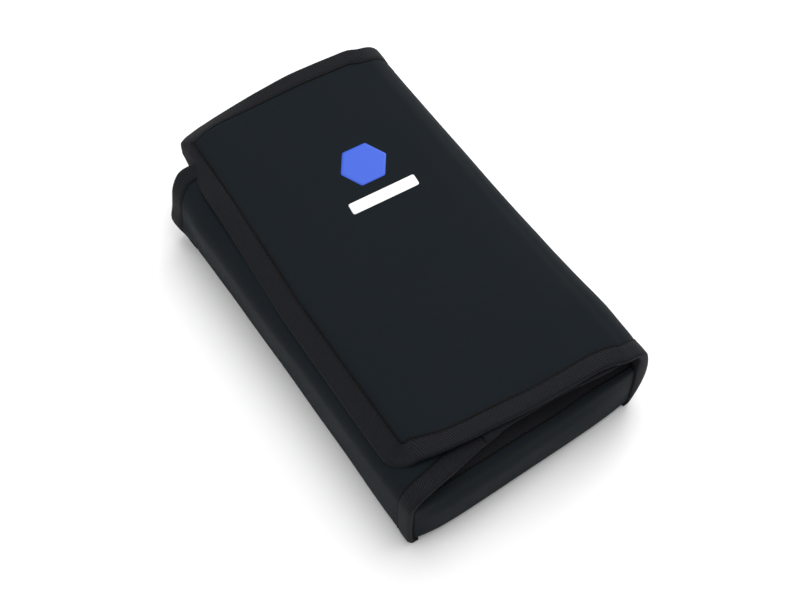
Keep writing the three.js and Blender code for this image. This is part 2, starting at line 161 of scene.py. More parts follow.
def turned(name, profile, segments, material, shape=None):
    """A closed piece turned about the Y axis from (radius, y) pairs that start and end on the axis.

    shape(angle, y, radius) gives the radius at each angle, for knurls and tips.
    """
    profile = np.asarray(profile, float)
    angles = np.linspace(0, 2 * np.pi, segments, endpoint=False)
    body = profile[1:-1]
    radius = np.repeat(body[:, :1], segments, 1)
    along = np.repeat(body[:, 1:], segments, 1)
    if shape is not None:
        radius = shape(angles[None, :], along, radius)
    ring = np.stack([radius * np.cos(angles), along, radius * np.sin(angles)], -1)
    count = len(body) * segments
    points = np.concatenate([ring.reshape(-1, 3), [[0, profile[0, 1], 0], [0, profile[-1, 1], 0]]])
    faces = grid_faces(len(body), segments, wrap_columns=True)
    for k in range(segments):
        following = (k + 1) % segments
        faces.append((count, following, k))
        last = (len(body) - 1) * segments
        faces.append((count + 1, last + k, last + following))
    uv = np.zeros((len(points), 2))
    uv[:count, 0] = np.tile(angles * 0.008, len(body))
    uv[:count, 1] = along.ravel()
    return make_mesh(name, points, faces, material, uvs=uv)


def joined(name, pieces):
    """Several pieces made one, with their materials kept."""
    bpy.ops.object.select_all(action="DESELECT")
    for piece in pieces:
        piece.select_set(True)
    bpy.context.view_layer.objects.active = pieces[0]
    bpy.ops.object.join()
    pieces[0].name = name
    return pieces[0]


# Materials. Cloth patterns follow the UV map, whose unit is a metre.

TWILL_ANGLE, WEFT_ANGLE = 52, -38  # degrees from across the panel


def tint(color, share):
    return tuple(channel * share for channel in color)


class Look:
    """A procedural material, built node by node."""

    def __init__(self, name, color, roughness, metallic=0.0, sheen=0.0, specular=0.5):
        self.color, self.roughness = color, roughness
        self.material = bpy.data.materials.new(name)
        self.material.use_nodes = True
        self.nodes, self.links = self.material.node_tree.nodes, self.material.node_tree.links
        self.shader = self.nodes["Principled BSDF"].inputs
        self.shader["Base Color"].default_value = (*color, 1)
        self.shader["Roughness"].default_value = roughness
        self.shader["Metallic"].default_value = metallic
        self.shader["Sheen Weight"].default_value = sheen
        self.shader["Sheen Roughness"].default_value = 0.4
        self.shader["Specular IOR Level"].default_value = specular
        self.shader["Coat Weight"].default_value = 0.0

    def node(self, kind, inputs, **settings):
        """A node with its settings, each input linked or given its value."""
        made = self.nodes.new(kind)
        for key, value in settings.items():
            setattr(made, key, value)
        for key, value in inputs.items():
            if isinstance(value, bpy.types.NodeSocket):
                self.links.new(value, made.inputs[key])
            else:
                made.inputs[key].default_value = value
        return made.outputs

    def math(self, operation, a, b=0.0):
        return self.node("ShaderNodeMath", {0: a, 1: b}, operation=operation)[0]

    def blend(self, a, share_a, b, share_b):
        return self.math("ADD", self.math("MULTIPLY", a, share_a), self.math("MULTIPLY", b, share_b))

    def uv(self):
        return self.node("ShaderNodeUVMap", {}, uv_map="UVMap")[0]

    def body(self):
        return self.node("ShaderNodeTexCoord", {})["Object"]

    def waves(self, angle, period):
        """Stripes across the UV map at an angle in degrees, from 0 to 1."""
        turn = self.node("ShaderNodeMapping", {"Vector": self.uv(), "Rotation": (0, 0, math.radians(angle))})
        return self.node("ShaderNodeTexWave", {"Vector": turn[0], "Scale": math.pi / 10 / period},
                         wave_type="BANDS", bands_direction="X", wave_profile="SIN")["Fac"]

    def noise(self, place, scale, detail):
        return self.node("ShaderNodeTexNoise", {"Vector": place, "Scale": scale, "Detail": detail})["Fac"]

    def seam(self, place, half_width):
        """A mask for the painted shade in a seam's groove: one at a distance across the UV map, falling to
        zero beside it.
        """
        across = self.node("ShaderNodeSeparateXYZ", {0: self.uv()})["Y"]
        offset = self.math("DIVIDE", self.math("SUBTRACT", across, place), half_width)
        return self.math("EXPONENT", self.math("MULTIPLY", self.math("MULTIPLY", offset, offset), -1.0))

    def paint(self, factor, dark, light):
        """Colour from the dark to the light share of the base colour."""
        made = self.nodes.new("ShaderNodeValToRGB")
        made.color_ramp.elements[0].color = (*tint(self.color, dark), 1)
        made.color_ramp.elements[1].color = (*tint(self.color, light), 1)
        self.links.new(factor, made.inputs[0])
        self.links.new(made.outputs[0], self.shader["Base Color"])

    def roughen(self, factor, share, least):
        self.links.new(self.math("ADD", self.math("MULTIPLY", factor, share), least), self.shader["Roughness"])

    def raised(self, height, strength, distance):
        """The finished material, with bumps."""
        bump = self.node("ShaderNodeBump", {"Strength": strength, "Distance": distance, "Height": height})
        self.links.new(bump[0], self.shader["Normal"])
        return self.material


def twill(name, color, period, spread, strength):
    """Woven nylon: a fine diagonal twill crossed by its weft, with slow colour change."""
    look = Look(name, color, 0.72, sheen=0.01, specular=0.06)
    weave = look.blend(look.waves(TWILL_ANGLE, period), 0.7, look.waves(WEFT_ANGLE, period * 0.62), 0.3)
    cloudy = look.noise(look.uv(), 26, 4)
    look.paint(look.blend(weave, 0.45, cloudy, 0.55), 1 - spread, 1 + spread)
    look.roughen(cloudy, 0.2, 0.6)
    return look.raised(weave, strength, 0.25 * MM)


def ribbed(name, color, period, angle, sheen, seam=None):
    """Webbing, tape or elastic, with ribs across its length, and painted shade along the groove where a seam
    pulls it in.
    """
    look = Look(name, color, 0.70, sheen=sheen, specular=0.09)
    weave = look.blend(look.waves(angle, period), 0.8, look.waves(angle + 90, period * 0.55), 0.2)
    mixed = look.blend(weave, 0.6, look.noise(look.uv(), 420, 3), 0.4)
    # Painted shade: the colour is darkened along the seam's groove
    if seam is not None:
        mixed = look.math("SUBTRACT", mixed, look.math("MULTIPLY", look.seam(*seam), 0.8))
    look.paint(mixed, 0.25, 1.75)
    return look.raised(weave, 1.0, 0.35 * MM)


def pile(name, color, scale):
    """The hooks or the loops of a touch fastener."""
    look = Look(name, color, 0.95, sheen=0.25, specular=0.1)
    hairs = look.noise(look.uv(), scale, 6)
    look.paint(hairs, 0.4, 1.9)
    return look.raised(hairs, 1.0, 1.0 * MM)


def metal(name, color, roughness):
    """Turned or ground metal, with fine marks round it and slight stains."""
    look = Look(name, color, roughness, metallic=1.0)
    squeezed = look.node("ShaderNodeMapping", {"Vector": look.body(), "Scale": (0.15, 1.0, 0.15)})[0]
    marks = look.noise(squeezed, 900, 4)
    look.paint(look.noise(look.body(), 60, 4), 0.82, 1.1)
    look.roughen(marks, 0.25, roughness - 0.1)
    return look.raised(marks, 0.15, 0.1 * MM)


def plastic(name, color, roughness):
    """Moulded plastic with a fine spark texture."""
    look = Look(name, color, roughness)
    wear = look.noise(look.body(), 35, 4)
    look.paint(wear, 0.85, 1.15)
    look.roughen(wear, 0.18, roughness - 0.09)
    return look.raised(look.noise(look.body(), 1500, 2), 0.25, 0.15 * MM)


def ink(name, color):
    """Screen print on cloth, with the weave showing through it."""
    look = Look(name, color, 0.55, specular=0.4)
    weave = look.waves(TWILL_ANGLE, 1.0 * MM)
    look.paint(look.blend(weave, 0.4, look.noise(look.uv(), 700, 3), 0.6), 0.86, 1.0)
    return look.raised(weave, 0.25, 0.2 * MM)


TAPE_SEAM_SHADE = (10.3 * MM, 0.8 * MM)  # painted shade in the seam's groove: how far in from the tape's edge, and half its width
cloth_material = twill("nylon_twill", (0.0055, 0.0082, 0.0108), 0.7 * MM, 0.16, 0.5)
lining_material = twill("lining_weave", (0.011, 0.012, 0.014), 0.8 * MM, 0.22, 0.35)
tape_material = ribbed("twill_tape", (0.0072, 0.0076, 0.0098), 1.3 * MM, 24, 0.015, TAPE_SEAM_SHADE)
elastic_material = ribbed("elastic_webbing", (0.020, 0.020, 0.022), 1.6 * MM, 0, 0.05)
thread_material = Look("black_thread", (0.007, 0.007, 0.008), 0.75, specular=0.2).material
hook_material = pile("hook_pile", (0.012, 0.012, 0.013), 900)
loop_material = pile("loop_pile", (0.016, 0.016, 0.018), 500)
blue_ink = ink("blue_ink", (0.028, 0.092, 0.56))
white_ink = ink("white_ink", (0.85, 0.85, 0.85))
handle_material = metal("dark_anodised", (0.045, 0.048, 0.053), 0.42)
cap_material = metal("blue_anodised", (0.03, 0.10, 0.55), 0.34)
steel_material = metal("satin_steel", (0.58, 0.59, 0.60), 0.28)
bit_material = metal("bit_steel", (0.50, 0.51, 0.53), 0.36)
case_material = plastic("case_plastic", (0.022, 0.024, 0.027), 0.52)
tray_material = plastic("tray_plastic", (0.035, 0.037, 0.041), 0.48)


# Cloth surfaces

def smooth_step(value):
    value = np.clip(value, 0, 1)
    return value * value * (3 - 2 * value)


def slow_noise(u, v, seed, wavelength):
    """A smooth random field of about plus or minus one, the same each run."""
    random = np.random.default_rng(seed)
    total = np.zeros(np.broadcast(u, v).shape)
    for _ in range(7):
        angle = random.uniform(0, 2 * np.pi)
        size = 2 * np.pi / (wavelength * random.uniform(0.7, 1.5))
        phase = random.uniform(0, 2 * np.pi)
        total += np.sin(size * (u * np.cos(angle) + v * np.sin(angle)) + phase)
    return total / 3.0


FOLD_STEPS = 40
LIP_LENGTH = 17 * MM


def folded_section(side, top, radius, rise, reach, lip):
    """The outer cross-section of a wall, its fold and the panel beyond the fold.

    It starts at the wall's foot. top is the height where the wall's plane and the
    panel's plane would meet, rise the panel's slope, and lip how far its free edge dips.
    """
    normal = np.array([math.sin(rise), math.cos(rise)])
    direction = np.array([-math.cos(rise), math.sin(rise)])
    centre = np.array([HALF_WIDTH - radius, top - radius * (1 - normal[0]) / normal[1]])
    wall = np.stack([np.full(FOLD_STEPS, HALF_WIDTH), np.linspace(FOOT_RADIUS, centre[1], FOLD_STEPS)], -1)
    turn = np.linspace(0, math.atan2(normal[1], normal[0]), FOLD_STEPS)[1:]
    arc = centre + radius * np.stack([np.cos(turn), np.sin(turn)], -1)
    start = (arc[-1] - np.array([HALF_WIDTH, top])) @ direction
    along = np.linspace(start, reach, 4 * FOLD_STEPS)[1:]
    flat = np.array([HALF_WIDTH, top]) + along[:, None] * direction
    flat[:, 1] -= lip * smooth_step((along - reach + LIP_LENGTH) / LIP_LENGTH)
    points = np.concatenate([wall, arc, flat])
    points[:, 0] *= side
    return points


BOW_EDGE = 15 * MM  # the bow is whole within this of the free edge
OUTLINE_SPACING = 2.5 * MM


class Cloth:
    """A sewn panel. u runs along its section from the wall's foot, v is Y, both in metres.

    bulge(u, v) moves the whole panel outward, puff its outer face alone, bow(v) draws the
    free edge in, and droop(u, v) pulls, shifts and sinks the parts that hang down.
    """

    bulge = puff = staticmethod(lambda u, v: 0.0)
    bow = staticmethod(lambda v: 0.0)
    droop = staticmethod(lambda u, v: (0.0, 0.0, 0.0))
    stretch = tape_share = staticmethod(lambda place: 1.0)
    start = 0

    def __init__(self, side, section, near, far, corners=(0, 0), turned=False):
        steps = np.linalg.norm(np.diff(section, axis=0), axis=1)
        self.along = np.concatenate([[0], np.cumsum(steps)])
        self.section = section
        tangent = np.gradient(section, self.along, axis=0)
        tangent /= np.linalg.norm(tangent, axis=1)[:, None]
        self.normals = side * np.stack([tangent[:, 1], -tangent[:, 0]], -1)
        self.ends = tangent[0], tangent[-1]
        self.length = self.along[-1]
        self.near_edge, self.far_edge = near, far
        self.corners, self.turned = corners, turned

    def u_at(self, x):
        """The distance along the section where the top panel is at x."""
        top, along = self.section[2 * FOLD_STEPS:], self.along[2 * FOLD_STEPS:]
        order = np.argsort(top[:, 0])
        return float(np.interp(x, top[order, 0], along[order]))

    def sides(self):
        """Each end's edge, the radius of its free corner and its inward direction along v."""
        return (self.near_edge, self.corners[0], 1), (self.far_edge, self.corners[1], -1)

    def limits(self, u):
        """The panel's near and far edges at u, with its rounded free corners."""
        edges = []
        for edge, radius, inward in self.sides():
            over = np.clip(u - (self.length - radius), 0, radius)
            cut = radius - np.sqrt(np.maximum(radius**2 - over**2, 0))
            edges.append(edge(np.minimum(u, self.length - radius)) + inward * cut)
        return edges

    def surface(self, u):
        inside = np.clip(u, 0, self.length)
        x = np.interp(inside, self.along, self.section[:, 0])
        z = np.interp(inside, self.along, self.section[:, 1])
        before, after = np.minimum(u, 0), np.maximum(u - self.length, 0)
        x = x + before * self.ends[0][0] + after * self.ends[1][0]
        z = z + before * self.ends[0][1] + after * self.ends[1][1]
        nx = np.interp(inside, self.along, self.normals[:, 0])
        nz = np.interp(inside, self.along, self.normals[:, 1])
        return x, z, nx, nz

    def place(self, u, v, depth):
        """The point at u and v, at a depth below the outer face."""
        u, v, depth = np.broadcast_arrays(np.asarray(u, float), v, depth)
        pull, shift, sink = self.droop(u, v)
        drawn = u - self.bow(v) * np.clip(u / (self.length - BOW_EDGE), 0, 1) ** 8 - pull
        x, z, nx, nz = self.surface(drawn)
        push = self.bulge(u, v) - sink + self.puff(u, v) * np.clip(1 - depth / PANEL, 0, 1) - depth
        across, along, up = x + nx * push, v - shift + 0 * u, (z + nz * push) * self.stretch(v)
        return np.stack([along, -across, up] if self.turned else [across, along, up], -1)

    def normal(self, u, v):
        across = self.place(u + 1 * MM, v, 0) - self.place(u - 1 * MM, v, 0)
        along = self.place(u, v + 1 * MM, 0) - self.place(u, v - 1 * MM, 0)
        out = np.cross(along, across)
        out /= np.linalg.norm(out, axis=-1)[..., None]
        outward = self.place(u, v, 0) - self.place(u, v, PANEL)
        return out * np.sign((out * outward).sum(-1))[..., None]

    def outline(self, ends="both"):
        """Points round the near, free and far edges, with their inward directions.

        With ends "near" or "far" it is that edge alone, and with "free" the free edge.
        """
        sides = []
        turn = np.linspace(0, np.pi / 2, 24)[1:]
        for edge, radius, inward in self.sides():
            u = np.linspace(self.start, self.length - radius, 200)
            line = np.stack([u, edge(u)], -1)
            round_corner = line[-1] + radius * np.stack([np.sin(turn), inward * (1 - np.cos(turn))], -1)
            sides.append(np.concatenate([line, round_corner]) if ends == "both" else line)
        sides[1] = sides[1][::-1]
        path = np.concatenate(sides) if ends == "both" else sides[0 if ends == "near" else 1]
        if ends == "free":
            free = np.linspace(self.near_edge(self.length), self.far_edge(self.length), 200)
            path = np.stack([self.length + 0 * free, free], -1)
        steps = np.linalg.norm(np.diff(path, axis=0), axis=1)
        path = path[np.concatenate([[True], steps > 1e-9])]
        along = np.concatenate([[0], np.cumsum(np.linalg.norm(np.diff(path, axis=0), axis=1))])
        at = np.linspace(0, along[-1], int(along[-1] / OUTLINE_SPACING))
        path = np.stack([np.interp(at, along, path[:, k]) for k in range(2)], -1)
        tangent = np.gradient(path, at, axis=0)
        tangent /= np.linalg.norm(tangent, axis=1)[:, None]
        return path, np.stack([-tangent[:, 1], tangent[:, 0]], -1), at


def cloth_panel(name, cloth, rows, columns):
    """The panel's cloth: outer face, lining and rim."""
    corner = max(*cloth.corners, 2 * MM)
    turn = np.sin(np.linspace(0, np.pi / 2, 12))[1:]
    straight_end = cloth.length - corner
    u = np.concatenate([np.linspace(cloth.start, straight_end, rows), straight_end + corner * turn])
    near, far = cloth.limits(u)
    t = np.linspace(0, 1, columns)
    v = near[:, None] + (far - near)[:, None] * t
    u = np.repeat(u[:, None], columns, 1)
    uv = np.stack([u, v], -1)
    outer, inner = cloth.place(u, v, 0), cloth.place(u, v, PANEL)
    return solid_from_grids(name, outer, inner, [cloth_material, lining_material], uv, bottom_material=1)


# The tape's face in millimetres: inward from the edge, and above the cloth
TAPE_FACE = [(11.0, -0.05), (10.85, 0.36), (10.4, 0.50), (9.9, 0.45), (9.3, 0.08), (8.7, 0.42), (8.0, 0.55),
             (6.5, 0.62), (4.0, 0.62), (1.6, 0.58), (0.4, 0.50), (-0.45, 0.15)]


def tape_profile():
    """The folded tape's section: (distance in from the edge, depth below the outer face)."""
    tucked, sunk = 0.6 * MM, 0.3 * MM
    face = [(inward * MM, -lift * MM) for inward, lift in TAPE_FACE]
    edge = [(-0.95 * MM, PANEL * 0.3), (-1.0 * MM, PANEL * 0.5), (-0.95 * MM, PANEL * 0.7)]
    back = [(inward, PANEL - depth) for inward, depth in reversed(face)]
    hidden = [(TAPE_WIDTH, PANEL - sunk), (tucked, PANEL - sunk), (tucked, sunk), (TAPE_WIDTH, sunk)]
    return np.array(face + edge + back + hidden)


def binding(name, cloth, ends="both"):
    """The tape folded over the panel's edges."""
    path, inward, at = cloth.outline(ends)
    profile = tape_profile()
    wander = 1 + 0.035 * slow_noise(at, at * 0, 5, 60 * MM)[:, None]
    distance = profile[None, :, 0] * wander
    shared = distance * cloth.tape_share(path[:, :1])
    u = path[:, :1] + inward[:, :1] * shared
    v = path[:, 1:] + inward[:, 1:] * shared
    points = cloth.place(u, v, profile[None, :, 1])
    return swept(name, points, tape_material, at, np.broadcast_to(distance, u.shape))


def swept(name, points, material, along, across):
    """A closed section carried along a path, with its ends capped."""
    rows, columns = points.shape[:2]
    faces = grid_faces(rows, columns, wrap_columns=True)
    faces += [tuple(range(columns)), tuple(range((rows - 1) * columns, rows * columns))[::-1]]
    uv = np.stack([np.repeat(np.asarray(along)[:, None], columns, 1), across], -1).reshape(-1, 2)
    return make_mesh(name, points.reshape(-1, 3), faces, material, uvs=uv)


def stitches(name, line, normals):
    """A row of thread stitches that lie on a line of surface points.

    Each stitch is six points round at five places along it.
    """
    along = np.concatenate([[0], np.cumsum(np.linalg.norm(np.diff(line, axis=0), axis=1))])
    count = max(int(along[-1] / STITCH_PITCH), 1)
    starts = (np.arange(count) + 0.15) * STITCH_PITCH
    shares, sizes = np.array([0.0, 0.2, 0.5, 0.8, 1.0]), np.array([0.25, 0.85, 1.0, 0.85, 0.25])
    at = starts[:, None] + shares * STITCH_LENGTH
    centre = np.stack([np.interp(at, along, line[:, k]) for k in range(3)], -1)
    up = np.stack([np.interp(at, along, normals[:, k]) for k in range(3)], -1)
    up /= np.linalg.norm(up, axis=-1)[..., None]
    forward = centre[:, -1:] - centre[:, :1]
    forward = forward / np.linalg.norm(forward, axis=-1)[..., None]
    aside = np.cross(np.broadcast_to(forward, up.shape), up)
    turn = np.linspace(0, 2 * np.pi, 6, endpoint=False)
    turned_aside = np.cos(turn)[None, None, :, None] * aside[:, :, None]
    turned_up = np.sin(turn)[None, None, :, None] * up[:, :, None]
    ring = centre[:, :, None] + THREAD_RADIUS * sizes[None, :, None, None] * (turned_aside + turned_up)
    faces = []
    for k in range(count):
        start = k * 30
        faces += grid_faces(5, 6, start, wrap_columns=True)
        faces += [tuple(start + j for j in range(6)), tuple(start + 29 - j for j in range(6))]
    return make_mesh(name, ring.reshape(-1, 3), faces, thread_material)


def edge_stitches(name, cloth, ends="both"):
    """The seam that holds the tape, on the outer face and on the lining."""
    path, inward, _ = cloth.outline(ends)
    seam = path + inward * (TAPE_WIDTH - STITCH_INSET) * cloth.tape_share(path[:, :1])
    up = cloth.normal(seam[:, 0], seam[:, 1])
    outer = cloth.place(seam[:, 0], seam[:, 1], -0.2 * MM)
    inner = cloth.place(seam[:, 0], seam[:, 1], PANEL + 0.2 * MM)
    return joined(name, [stitches(name, outer, up), stitches(name + "_inner", inner, -up)])


def patch(name, cloth, outline, top, bottom, material):
    """A thin closed piece that follows the cloth, inside an outline of u and v points."""
    outline = np.asarray(outline)
    centre = outline.mean(0)
    scale = np.linspace(1, 0.02, 10)
    flat = centre + scale[:, None, None] * (outline - centre)
    layers = [cloth.place(flat[..., 0], flat[..., 1], depth) for depth in (top, bottom)]
    rows, columns = flat.shape[:2]
    count = rows * columns
    faces = grid_faces(rows, columns, 0, wrap_columns=True)
    faces += grid_faces(rows, columns, count, wrap_columns=True)
    faces += [tuple(start + (rows - 1) * columns + j for j in range(columns)) for start in (0, count)]
    faces += [(j, (j + 1) % columns, count + (j + 1) % columns, count + j) for j in range(columns)]
    points = np.concatenate([layer.reshape(-1, 3) for layer in layers])
    return make_mesh(name, points, faces, material, uvs=np.concatenate([flat.reshape(-1, 2)] * 2))


def strip(name, cloth, u_range, v_range, top, bottom, material):
    """A rectangle of webbing that follows the cloth."""
    u, v = np.meshgrid(np.linspace(*u_range, 14), np.linspace(*v_range, 90), indexing="ij")
    grids = [cloth.place(u, v, depth) for depth in (top, bottom)]
    return solid_from_grids(name, grids[0], grids[1], material, np.stack([u, v], -1))


# The camera, lights and floor

CAMERA_AZIMUTH, CAMERA_ELEVATION = math.radians(-34.7), math.radians(59.1)
CAMERA_TARGET = Vector((7.3 * MM, -1.9 * MM, 0))
CAMERA_DISTANCE = 0.988

camera_data = bpy.data.cameras.new("camera")
camera_data.lens = 72.45
camera_data.sensor_width = 36
camera = bpy.data.objects.new("camera", camera_data)
back = Vector((
    math.sin(CAMERA_AZIMUTH) * math.cos(CAMERA_ELEVATION),
    -math.cos(CAMERA_AZIMUTH) * math.cos(CAMERA_ELEVATION),
    math.sin(CAMERA_ELEVATION),
))
camera.location = CAMERA_TARGET + back * CAMERA_DISTANCE
camera.rotation_euler = back.to_track_quat("Z", "Y").to_euler()
bpy.context.scene.collection.objects.link(camera)
bpy.context.scene.camera = camera

FLOOR_HALF = 3
floor_corners = [(x * FLOOR_HALF, y * FLOOR_HALF, 0) for x, y in ((-1, -1), (1, -1), (1, 1), (-1, 1))]
floor_material = Look("floor_white", (0.86, 0.86, 0.86), 0.9).material
floor = make_mesh("floor", floor_corners, [(0, 1, 2, 3)], floor_material)
floor.location.z = -0.6 * MM

world = bpy.data.worlds.new("studio")
world.use_nodes = True
sky = world.node_tree.nodes["Background"].inputs
sky["Color"].default_value = (1, 1, 1, 1)
sky["Strength"].default_value = 0.76
bpy.context.scene.world = world
bpy.context.scene.view_settings.view_transform = "Standard"


def area_light(name, place, size, watts):
    """A soft light that faces the object."""
    data = bpy.data.lights.new(name, "AREA")
    data.shape = "DISK"
    data.size = size
    data.energy = watts
    lamp = bpy.data.objects.new(name, data)
    lamp.location = place
    lamp.rotation_euler = Vector(place).to_track_quat("Z", "Y").to_euler()
    bpy.context.scene.collection.objects.link(lamp)


area_light("key", (0.3, 0.11, 1.33), 1.15, 11.5)
area_light("left", (-1.1, 0.2, 0.35), 0.7, 2.8)
area_light("right", (1.1, 0.5, 0.5), 0.9, 9)


# The wallet's panels

def knots(places, values, width=10 * MM):
    """A curve through the knots, its corners rounded over the width."""
    fine = np.linspace(places[0], places[-1], 500)
    count = max(int(width / (fine[1] - fine[0])) // 2, 1)
    line = np.interp(fine, places, values)
    before = 2 * line[0] - line[count:0:-1]
    after = 2 * line[-1] - line[-2:-count - 2:-1]
    kernel = np.hanning(2 * count + 3)[1:-1]
    smooth = np.convolve(np.concatenate([before, line, after]), kernel / kernel.sum(), "valid")
    return lambda u: np.interp(u, fine, smooth)


def knots_mm(places, values, width, origin=0.0):
    """A curve through knots in millimetres, their places measured from origin."""
    return knots([origin + place * MM for place in places], [value * MM for value in values], width * MM)


WALL_SPAN = 44 * MM  # the part of a section that is the upright wall


def edge_by_x(section_cloth, wall, x_values, y_values, origin):
    """An edge given up the wall and at places across the top panel, in millimetres from origin."""
    pairs = [(place, origin + y * MM) for place, y in zip(np.linspace(0, WALL_SPAN, len(wall)), wall)]
    pairs += sorted((section_cloth.u_at(x * MM), origin + y * MM) for x, y in zip(x_values, y_values))
    return knots(*zip(*pairs))


def hump(place, height, centre, width):
    return height * np.exp(-((place - centre) / width) ** 2)


PUCKER_HEIGHT, PUCKER_PERIOD = 0.10 * MM, 1.6 * MM


def crown(cloth, u, v, step, rise, width):
    """The swell of the outer cloth inside its taped edges, with puckers along the seam."""
    from_ends = np.minimum(v - cloth.near_edge(u), cloth.far_edge(u) - v)
    inside = np.minimum(from_ends, cloth.length - u) - TAPE_WIDTH
    margin, band = 0.5 * MM, 4 * MM
    pucker = np.sin((u + v) / PUCKER_PERIOD + 2 * slow_noise(u, v, 31, 45 * MM))
    pucker = pucker * hump(inside, PUCKER_HEIGHT, 3 * MM, band) * (inside > -margin)
    return pucker + step * smooth_step((inside + margin) / band) + rise * smooth_step(inside / width)


def constant(value):
    return lambda u: value + 0 * np.asarray(u, float)


class Layer(Cloth):
    """A thinner cloth sewn under part of another panel, with its own near edge."""

    def __init__(self, under, span, near, far, top, thickness):
        self.under, self.start, self.length = under, span[0], span[1]
        self.near_edge, self.far_edge, self.corners = near, far, (0, 0)
        self.top, self.share = top, thickness / PANEL

    def place(self, u, v, depth):
        return self.under.place(u, v, self.top + self.share * np.asarray(depth))


def foot_section(side, edge=HALF_WIDTH):
    turn = np.linspace(0, np.pi / 2, 24)
    x = edge - FOOT_RADIUS + FOOT_RADIUS * np.sin(turn)
    return np.stack([side * x, FOOT_RADIUS * (1 - np.cos(turn))], -1)


def foot_of(wall, section, side):
    """The fold of cloth between the base and a wall."""
    fold = Cloth(side, section, constant(wall.near_edge(0)), constant(wall.far_edge(0)), turned=wall.turned)

    def share(u):
        return np.sin(np.pi / 2 * np.clip(u / fold.length, 0, 1))

    fold.bulge = lambda u, v: wall.bulge(0 * u, v) * share(u)
    fold.puff = lambda u, v: wall.puff(0 * u, v) * share(u)
    fold.stretch = wall.stretch
    return fold


# The right wall and the cover. Edges are measured from the near and far ends.
COVER_REACH = 152.5 * MM
COVER_LIP = 3.2 * MM
right = Cloth(1, folded_section(1, COVER_TOP, COVER_FOLD_RADIUS, -SLOPE, COVER_REACH, COVER_LIP), None, None,
              (14.0 * MM, 7.0 * MM))
right.bow = knots_mm((-137, -100, -60, -20, 1, 42, 82, 110, 131, 145),
                     (-2.0, -1.8, -0.8, 0.4, 1.0, 4.0, 7.0, 8.4, 9.0, 9.2), 20)
right.near_edge = edge_by_x(
    right, (0.0, -0.6, -1.2), (76, 71, 62, 51, 31, 11, -11, -29, -46, -60, -74),
    (-1.2, -0.8, 1.3, 3.5, 4.9, 6.9, 9.8, 12.0, 15.0, 19.0, 23.5), NEAR)
right.far_edge = edge_by_x(
    right, (0.0, 5.0, 11.5), (76, 71, 68, 59, 40, 21, 6, -8, -22, -35, -47, -60, -74),
    (15.0, 16.5, 17.2, 19.0, 22.2, 25.0, 26.6, 28.5, 30.3, 31.6, 31.8, 30.6, 28.5), FAR)
right.swell = (1.9 * MM, 6.2 * MM, 64 * MM)  # how far the wall swells, far and near, and over what height

INNER_BULGE = 2.2 * MM  # the lining bulges less than the outer cloth


def wall_bulge(cloth, u, v):
    """How far a wall's outer face swells, and how much of that its lining follows."""
    far_height, near_height, span = cloth.swell
    height = far_height + (near_height - far_height) * smooth_step((FAR - v) / LENGTH)
    outer = height * np.sin(np.pi * np.clip((u + 2 * MM) / span, 0, 1)) ** 0.8
    inner = np.minimum(outer, INNER_BULGE * np.tanh(outer / INNER_BULGE))
    return outer, inner


# How far the cover's fold leans in, along its length
fold_lean = knots_mm((-101, -73, -52, -21, 21, 52, 83, 115, 140),
                     (0, -1.6, -2.4, -2.6, -2.2, -2.0, -1.2, 0.2, 1.2), 20)
LEAN_START, LEAN_SPAN = 18 * MM, 66 * MM


def right_bulge(u, v):
    wall = wall_bulge(right, u, v)[1]
    corner = smooth_step((u / right.length - 0.62) / 0.38)
    droop = -0.8 * MM * corner * smooth_step((v - FAR + 45 * MM) / (60 * MM))
    lean = fold_lean(v) * np.sin(np.pi * np.clip((u - LEAN_START) / LEAN_SPAN, 0, 1)) ** 2
    return wall + droop + lean + 0.35 * MM * slow_noise(u, v, 3, 85 * MM)


right.bulge = right_bulge

DROOP_BAND = 14 * MM
FAR_DROOP, FREE_DROOP = math.radians(32), math.radians(42)
DROOP_CURVE = 1.3


def cover_droop(u, v):
    """How the cover's far edge and far free corner hang down: pull and shift inwards, and sink."""
    from_far = right.far_edge(np.minimum(u, right.length)) - v
    far_band = np.clip(1 - from_far / DROOP_BAND, 0, 1)
    free_band = np.clip((u - right.length + DROOP_BAND) / DROOP_BAND, 0, 1)
    far_angle = FAR_DROOP * smooth_step((u - right.u_at(30 * MM)) / (80 * MM))
    free_angle = FREE_DROOP * smooth_step((v - FAR + 25 * MM) / (50 * MM))
    shift = DROOP_BAND * (1 - np.cos(far_angle)) * far_band
    pull = DROOP_BAND * (1 - np.cos(free_angle)) * free_band
    far_sink = DROOP_BAND * np.sin(far_angle) * far_band ** DROOP_CURVE
    free_sink = DROOP_BAND * np.sin(free_angle) * free_band ** DROOP_CURVE
    return pull, shift, np.hypot(far_sink, free_sink)


right.droop = cover_droop
# Its tape is a fifth wider along the free edge
right.tape_share = lambda u: 1 + 0.2 * smooth_step((u - right.length + 40 * MM) / (30 * MM))


def right_puff(u, v):
    outer, inner = wall_bulge(right, u, v)
    return outer - inner + crown(right, u, v, 0.35 * MM, 0.9 * MM, 40 * MM)


right.puff = right_puff


# The left wall and the tuck flap
TUCK_REACH = 73 * MM
left = Cloth(-1, folded_section(-1, TUCK_TOP, SHOULDER_RADIUS, SLOPE, TUCK_REACH, 0.0), None, None,
             (11.6 * MM, 11.6 * MM))
left.near_edge = edge_by_x(left, (0.0, 0.0), (-72, -60, -46, -30, -6), (0.8, 1.8, 3.8, 6.5, 8.5), NEAR)
left.far_edge = edge_by_x(left, (-5.0, 2.0, 3.5, 3.5, 6.0), (-72, -46, -6), (8.0, 5.0, -2.0), FAR)
left.swell = (0.3 * MM, 1.4 * MM, 50 * MM)
left_foot_line = knots_mm((0, 35, 70, 126, 186, 252), (1.2, 0.1, -1.1, -2.3, -2.9, -3.0), 30, NEAR)


FLARE_LENGTH = 30 * MM  # the wall's far end spreads low down and draws in at the shoulder


